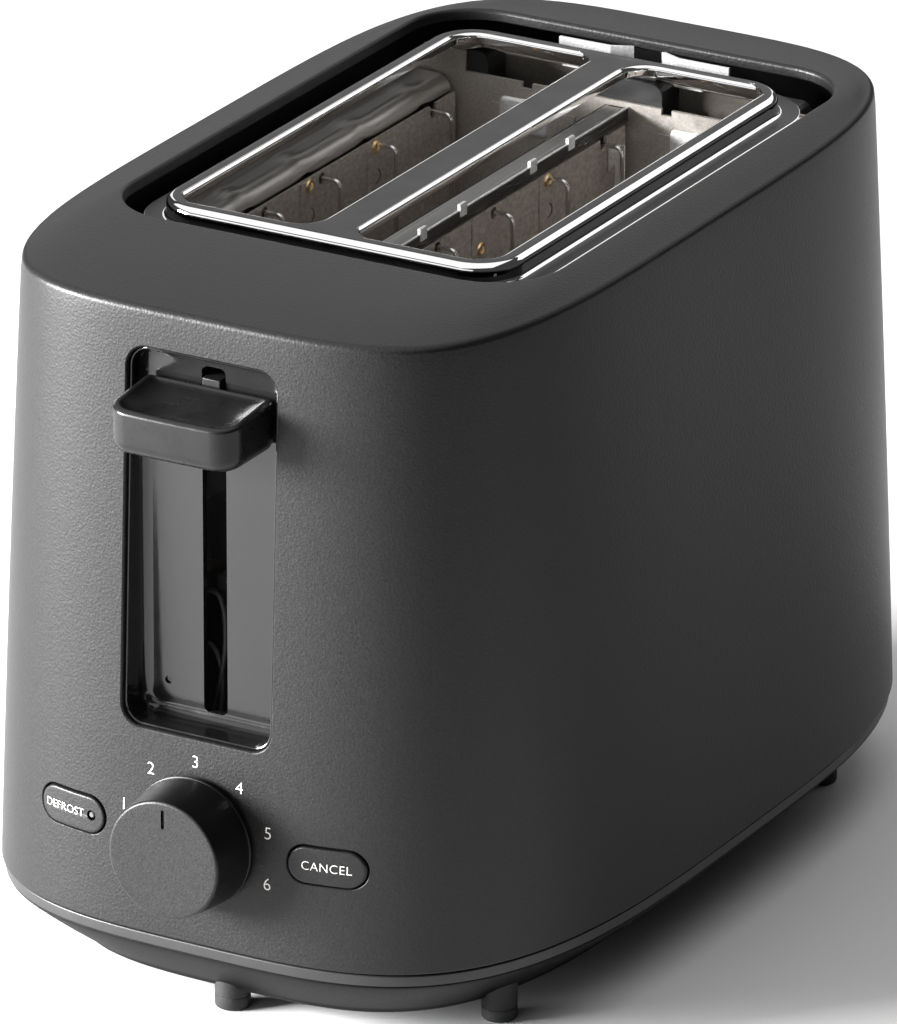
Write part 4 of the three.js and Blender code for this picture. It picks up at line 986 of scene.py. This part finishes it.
def write(name, text, x, z, size, body, proud=0.0, spacing=1.0, weight=0.0):
    """Printed lettering, laid on the curved front face. x and z are the middle; weight thickens the strokes."""
    curve = bpy.data.curves.new(name, "FONT")
    curve.body = text
    curve.size = size
    curve.align_x = "CENTER"
    curve.align_y = "CENTER"
    curve.space_character = spacing
    curve.offset = weight
    curve.extrude = PRINT["thick"]
    holder = bpy.data.objects.new(f"{name}_curve", curve)
    bpy.context.scene.collection.objects.link(holder)
    bpy.context.view_layer.update()
    flat = bpy.data.meshes.new_from_object(holder.evaluated_get(bpy.context.evaluated_depsgraph_get()))
    bpy.data.objects.remove(holder)
    co = np.array([v.co for v in flat.vertices], float)
    middle = (co.max(0) + co.min(0)) / 2
    u, v = co[:, 0] - middle[0] + x, co[:, 1] - middle[1] + z
    points = np.column_stack([u, front_y(u, v) - proud - PRINT["lift"] - co[:, 2], v])
    faces = [tuple(face.vertices) for face in flat.polygons]
    finish_piece(make(name, (points, faces), M["print"], 20), body, "knob_plastic")


def make_lettering():
    for i, (x, z) in enumerate(DIGITS):
        write(f"scale_digit_{i + 1}", str(i + 1), x, z, 4.5, "chassis", weight=-0.06)
    write("defrost_word", "DEFROST", -37.1, 50.6, 2.9, "defrost_button", BUTTON["proud"], 1.0, -0.045)
    write("cancel_word", "CANCEL", 36.0, 50.5, 3.2, "cancel_button", BUTTON["proud"], 1.05, -0.05)


# ---- CAD pieces that keep their shape ----

def keep_nodes():
    """CAD pieces with the right shape: a finish and softened edges."""
    plain = {
        "mottled": ["rear_end_plate", "front_end_plate"],
        "sheet": ["chassis_floor", "bread_lifter_left", "bread_lifter_right", "guide_bracket",
                  "armature_plate", "magnet_core"],
        "sheet_z": ["carriage_plate"],
        "shield": ["rear_heat_shield"],
        "mica": [f"heater_board_{side}_{row}" for side in ("left", "right") for row in ("outer", "inner")],
        "dark": ["cover_spacer_left", "cover_spacer_centre", "cover_spacer_right", "carriage_bush_left",
                 "carriage_bush_right", "potentiometer", "defrost_switch", "cancel_switch"],
        "zinc": ["cover_clip_left", "cover_clip_right"],
        "wire": ["guide_rod_left", "guide_rod_right"] + SCREWS,
        "board": ["control_board"],
        "copper": ["magnet_coil"],
    }
    soft = {"cover_clip_left": 0.25, "cover_clip_right": 0.25, "rear_end_plate": 0.25,
            "cover_spacer_left": 0.8, "cover_spacer_centre": 0.8, "cover_spacer_right": 0.8}
    for key, names in plain.items():
        for name in names:
            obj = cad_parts[name]
            obj.data.materials.clear()
            obj.data.materials.append(M[key])
            bevel_edges(obj, soft.get(name, 0.12), 50.0)


def make_gland():
    """The ring in the rear wall that a cord would come out of."""
    z, bore, neck, flange, inner, wall, back = GLAND.values()
    profile = [(bore, inner), (neck, inner), (neck, wall), (flange, wall), (flange, 131.0), (8.9, 131.7)]
    profile += [(8.2, back), (4.6, back), (3.9, 131.6), (bore, 130.6), (bore, inner)]
    gland = make("cord_gland_ring", turned(profile, "y", (0, 0, z), 64), M["dark"])
    finish_piece(gland, "chassis", "dark_plastic", "cord_gland")


# ---- Stage ----

def make_stage():
    size = 6.0
    mesh = bpy.data.meshes.new("floor")
    corners = [(-size, -size, 0), (size, -size, 0), (size, size, 0), (-size, size, 0)]
    mesh.from_pydata(corners, [], [(0, 1, 2, 3)])
    floor = bpy.data.objects.new("floor", mesh)
    bpy.context.scene.collection.objects.link(floor)
    pale = Nodes("pale_floor", grey(0.72), 0.8, Specular_IOR_Level=0.1)
    pale.tint(pale.noise(2.0, 2.0), grey(0.71), grey(0.73))
    mesh.materials.append(pale.material)
    world = bpy.data.worlds.new("studio")
    bpy.context.scene.world = world
    world.use_nodes = True
    world.node_tree.nodes["Background"].inputs["Color"].default_value = (1, 1, 1, 1)
    world.node_tree.nodes["Background"].inputs["Strength"].default_value = 0.05
    bpy.context.scene.view_settings.view_transform = "Standard"


def softbox(name, at, aim, width, height, power):
    light = bpy.data.lights.new(name, "AREA")
    light.shape = "RECTANGLE"
    light.size, light.size_y = width, height
    light.energy = power
    lamp = bpy.data.objects.new(name, light)
    bpy.context.scene.collection.objects.link(lamp)
    lamp.location = at
    lamp.rotation_mode = "QUATERNION"
    lamp.rotation_quaternion = (Vector(aim) - Vector(at)).to_track_quat("-Z", "Y")
    return light


def make_lights():
    key = softbox("key_softbox", (-1.4, -1.15, 0.42), (-0.15, -0.1, 0.1), 0.9, 0.7, 66)
    key.spread = math.radians(90)
    softbox("front_softbox", (-0.5, -1.8, 0.55), (0, 0, 0.1), 2.2, 0.8, 6)
    softbox("top_softbox", (-0.4, -0.2, 1.8), (-0.1, 0, 0.1), 3.4, 3.0, 36)
    softbox("back_softbox", (0.3, 1.8, 1.2), (0, 0, 0.1), 1.6, 0.7, 5)
    softbox("rear_left_softbox", (-1.0, 1.6, 0.8), (0, 0, 0.15), 1.3, 0.8, 3.4)


def make_camera():
    """The eye stands to the right of the front, a little above, and looks at the middle of the object."""
    azimuth, elevation, roll = math.radians(29.617), math.radians(22.044), math.radians(0.122)
    target = Vector((-2.642, 0.8 + MIDDLE_Y, 89.9)) * MM
    distance, long_side, focal = 2.666, 1024, 10750
    flat = math.cos(elevation)
    back = Vector((math.sin(azimuth) * flat, -math.cos(azimuth) * flat, math.sin(elevation)))
    right = Vector((math.cos(azimuth), math.sin(azimuth), 0))
    up = back.cross(right)
    level_x = math.cos(roll) * right + math.sin(roll) * up
    level_y = -math.sin(roll) * right + math.cos(roll) * up
    data = bpy.data.cameras.new("camera")
    data.sensor_width = 36
    data.lens = focal * data.sensor_width / long_side
    data.clip_start, data.clip_end = 0.1, 20
    camera = bpy.data.objects.new("camera", data)
    bpy.context.scene.collection.objects.link(camera)
    camera.matrix_world = Matrix.Translation(target + distance * back) @ Matrix(
        (level_x, level_y, back)).transposed().to_4x4()
    bpy.context.scene.camera = camera


make_housing()
make_base()
make_feet()
make_tray()
make_cover()
make_recess()
make_lever()
make_spring()
make_guards()
make_centre_bracket()
make_side_panels()
make_board_details()
make_lead_wires()
make_plate_details()
make_knob()
make_button(-1, "defrost_button")
make_button(1, "cancel_button")
make_light()
make_lettering()
make_gland()
keep_nodes()
make_stage()
make_lights()
make_camera()

bpy.context.view_layer.update()
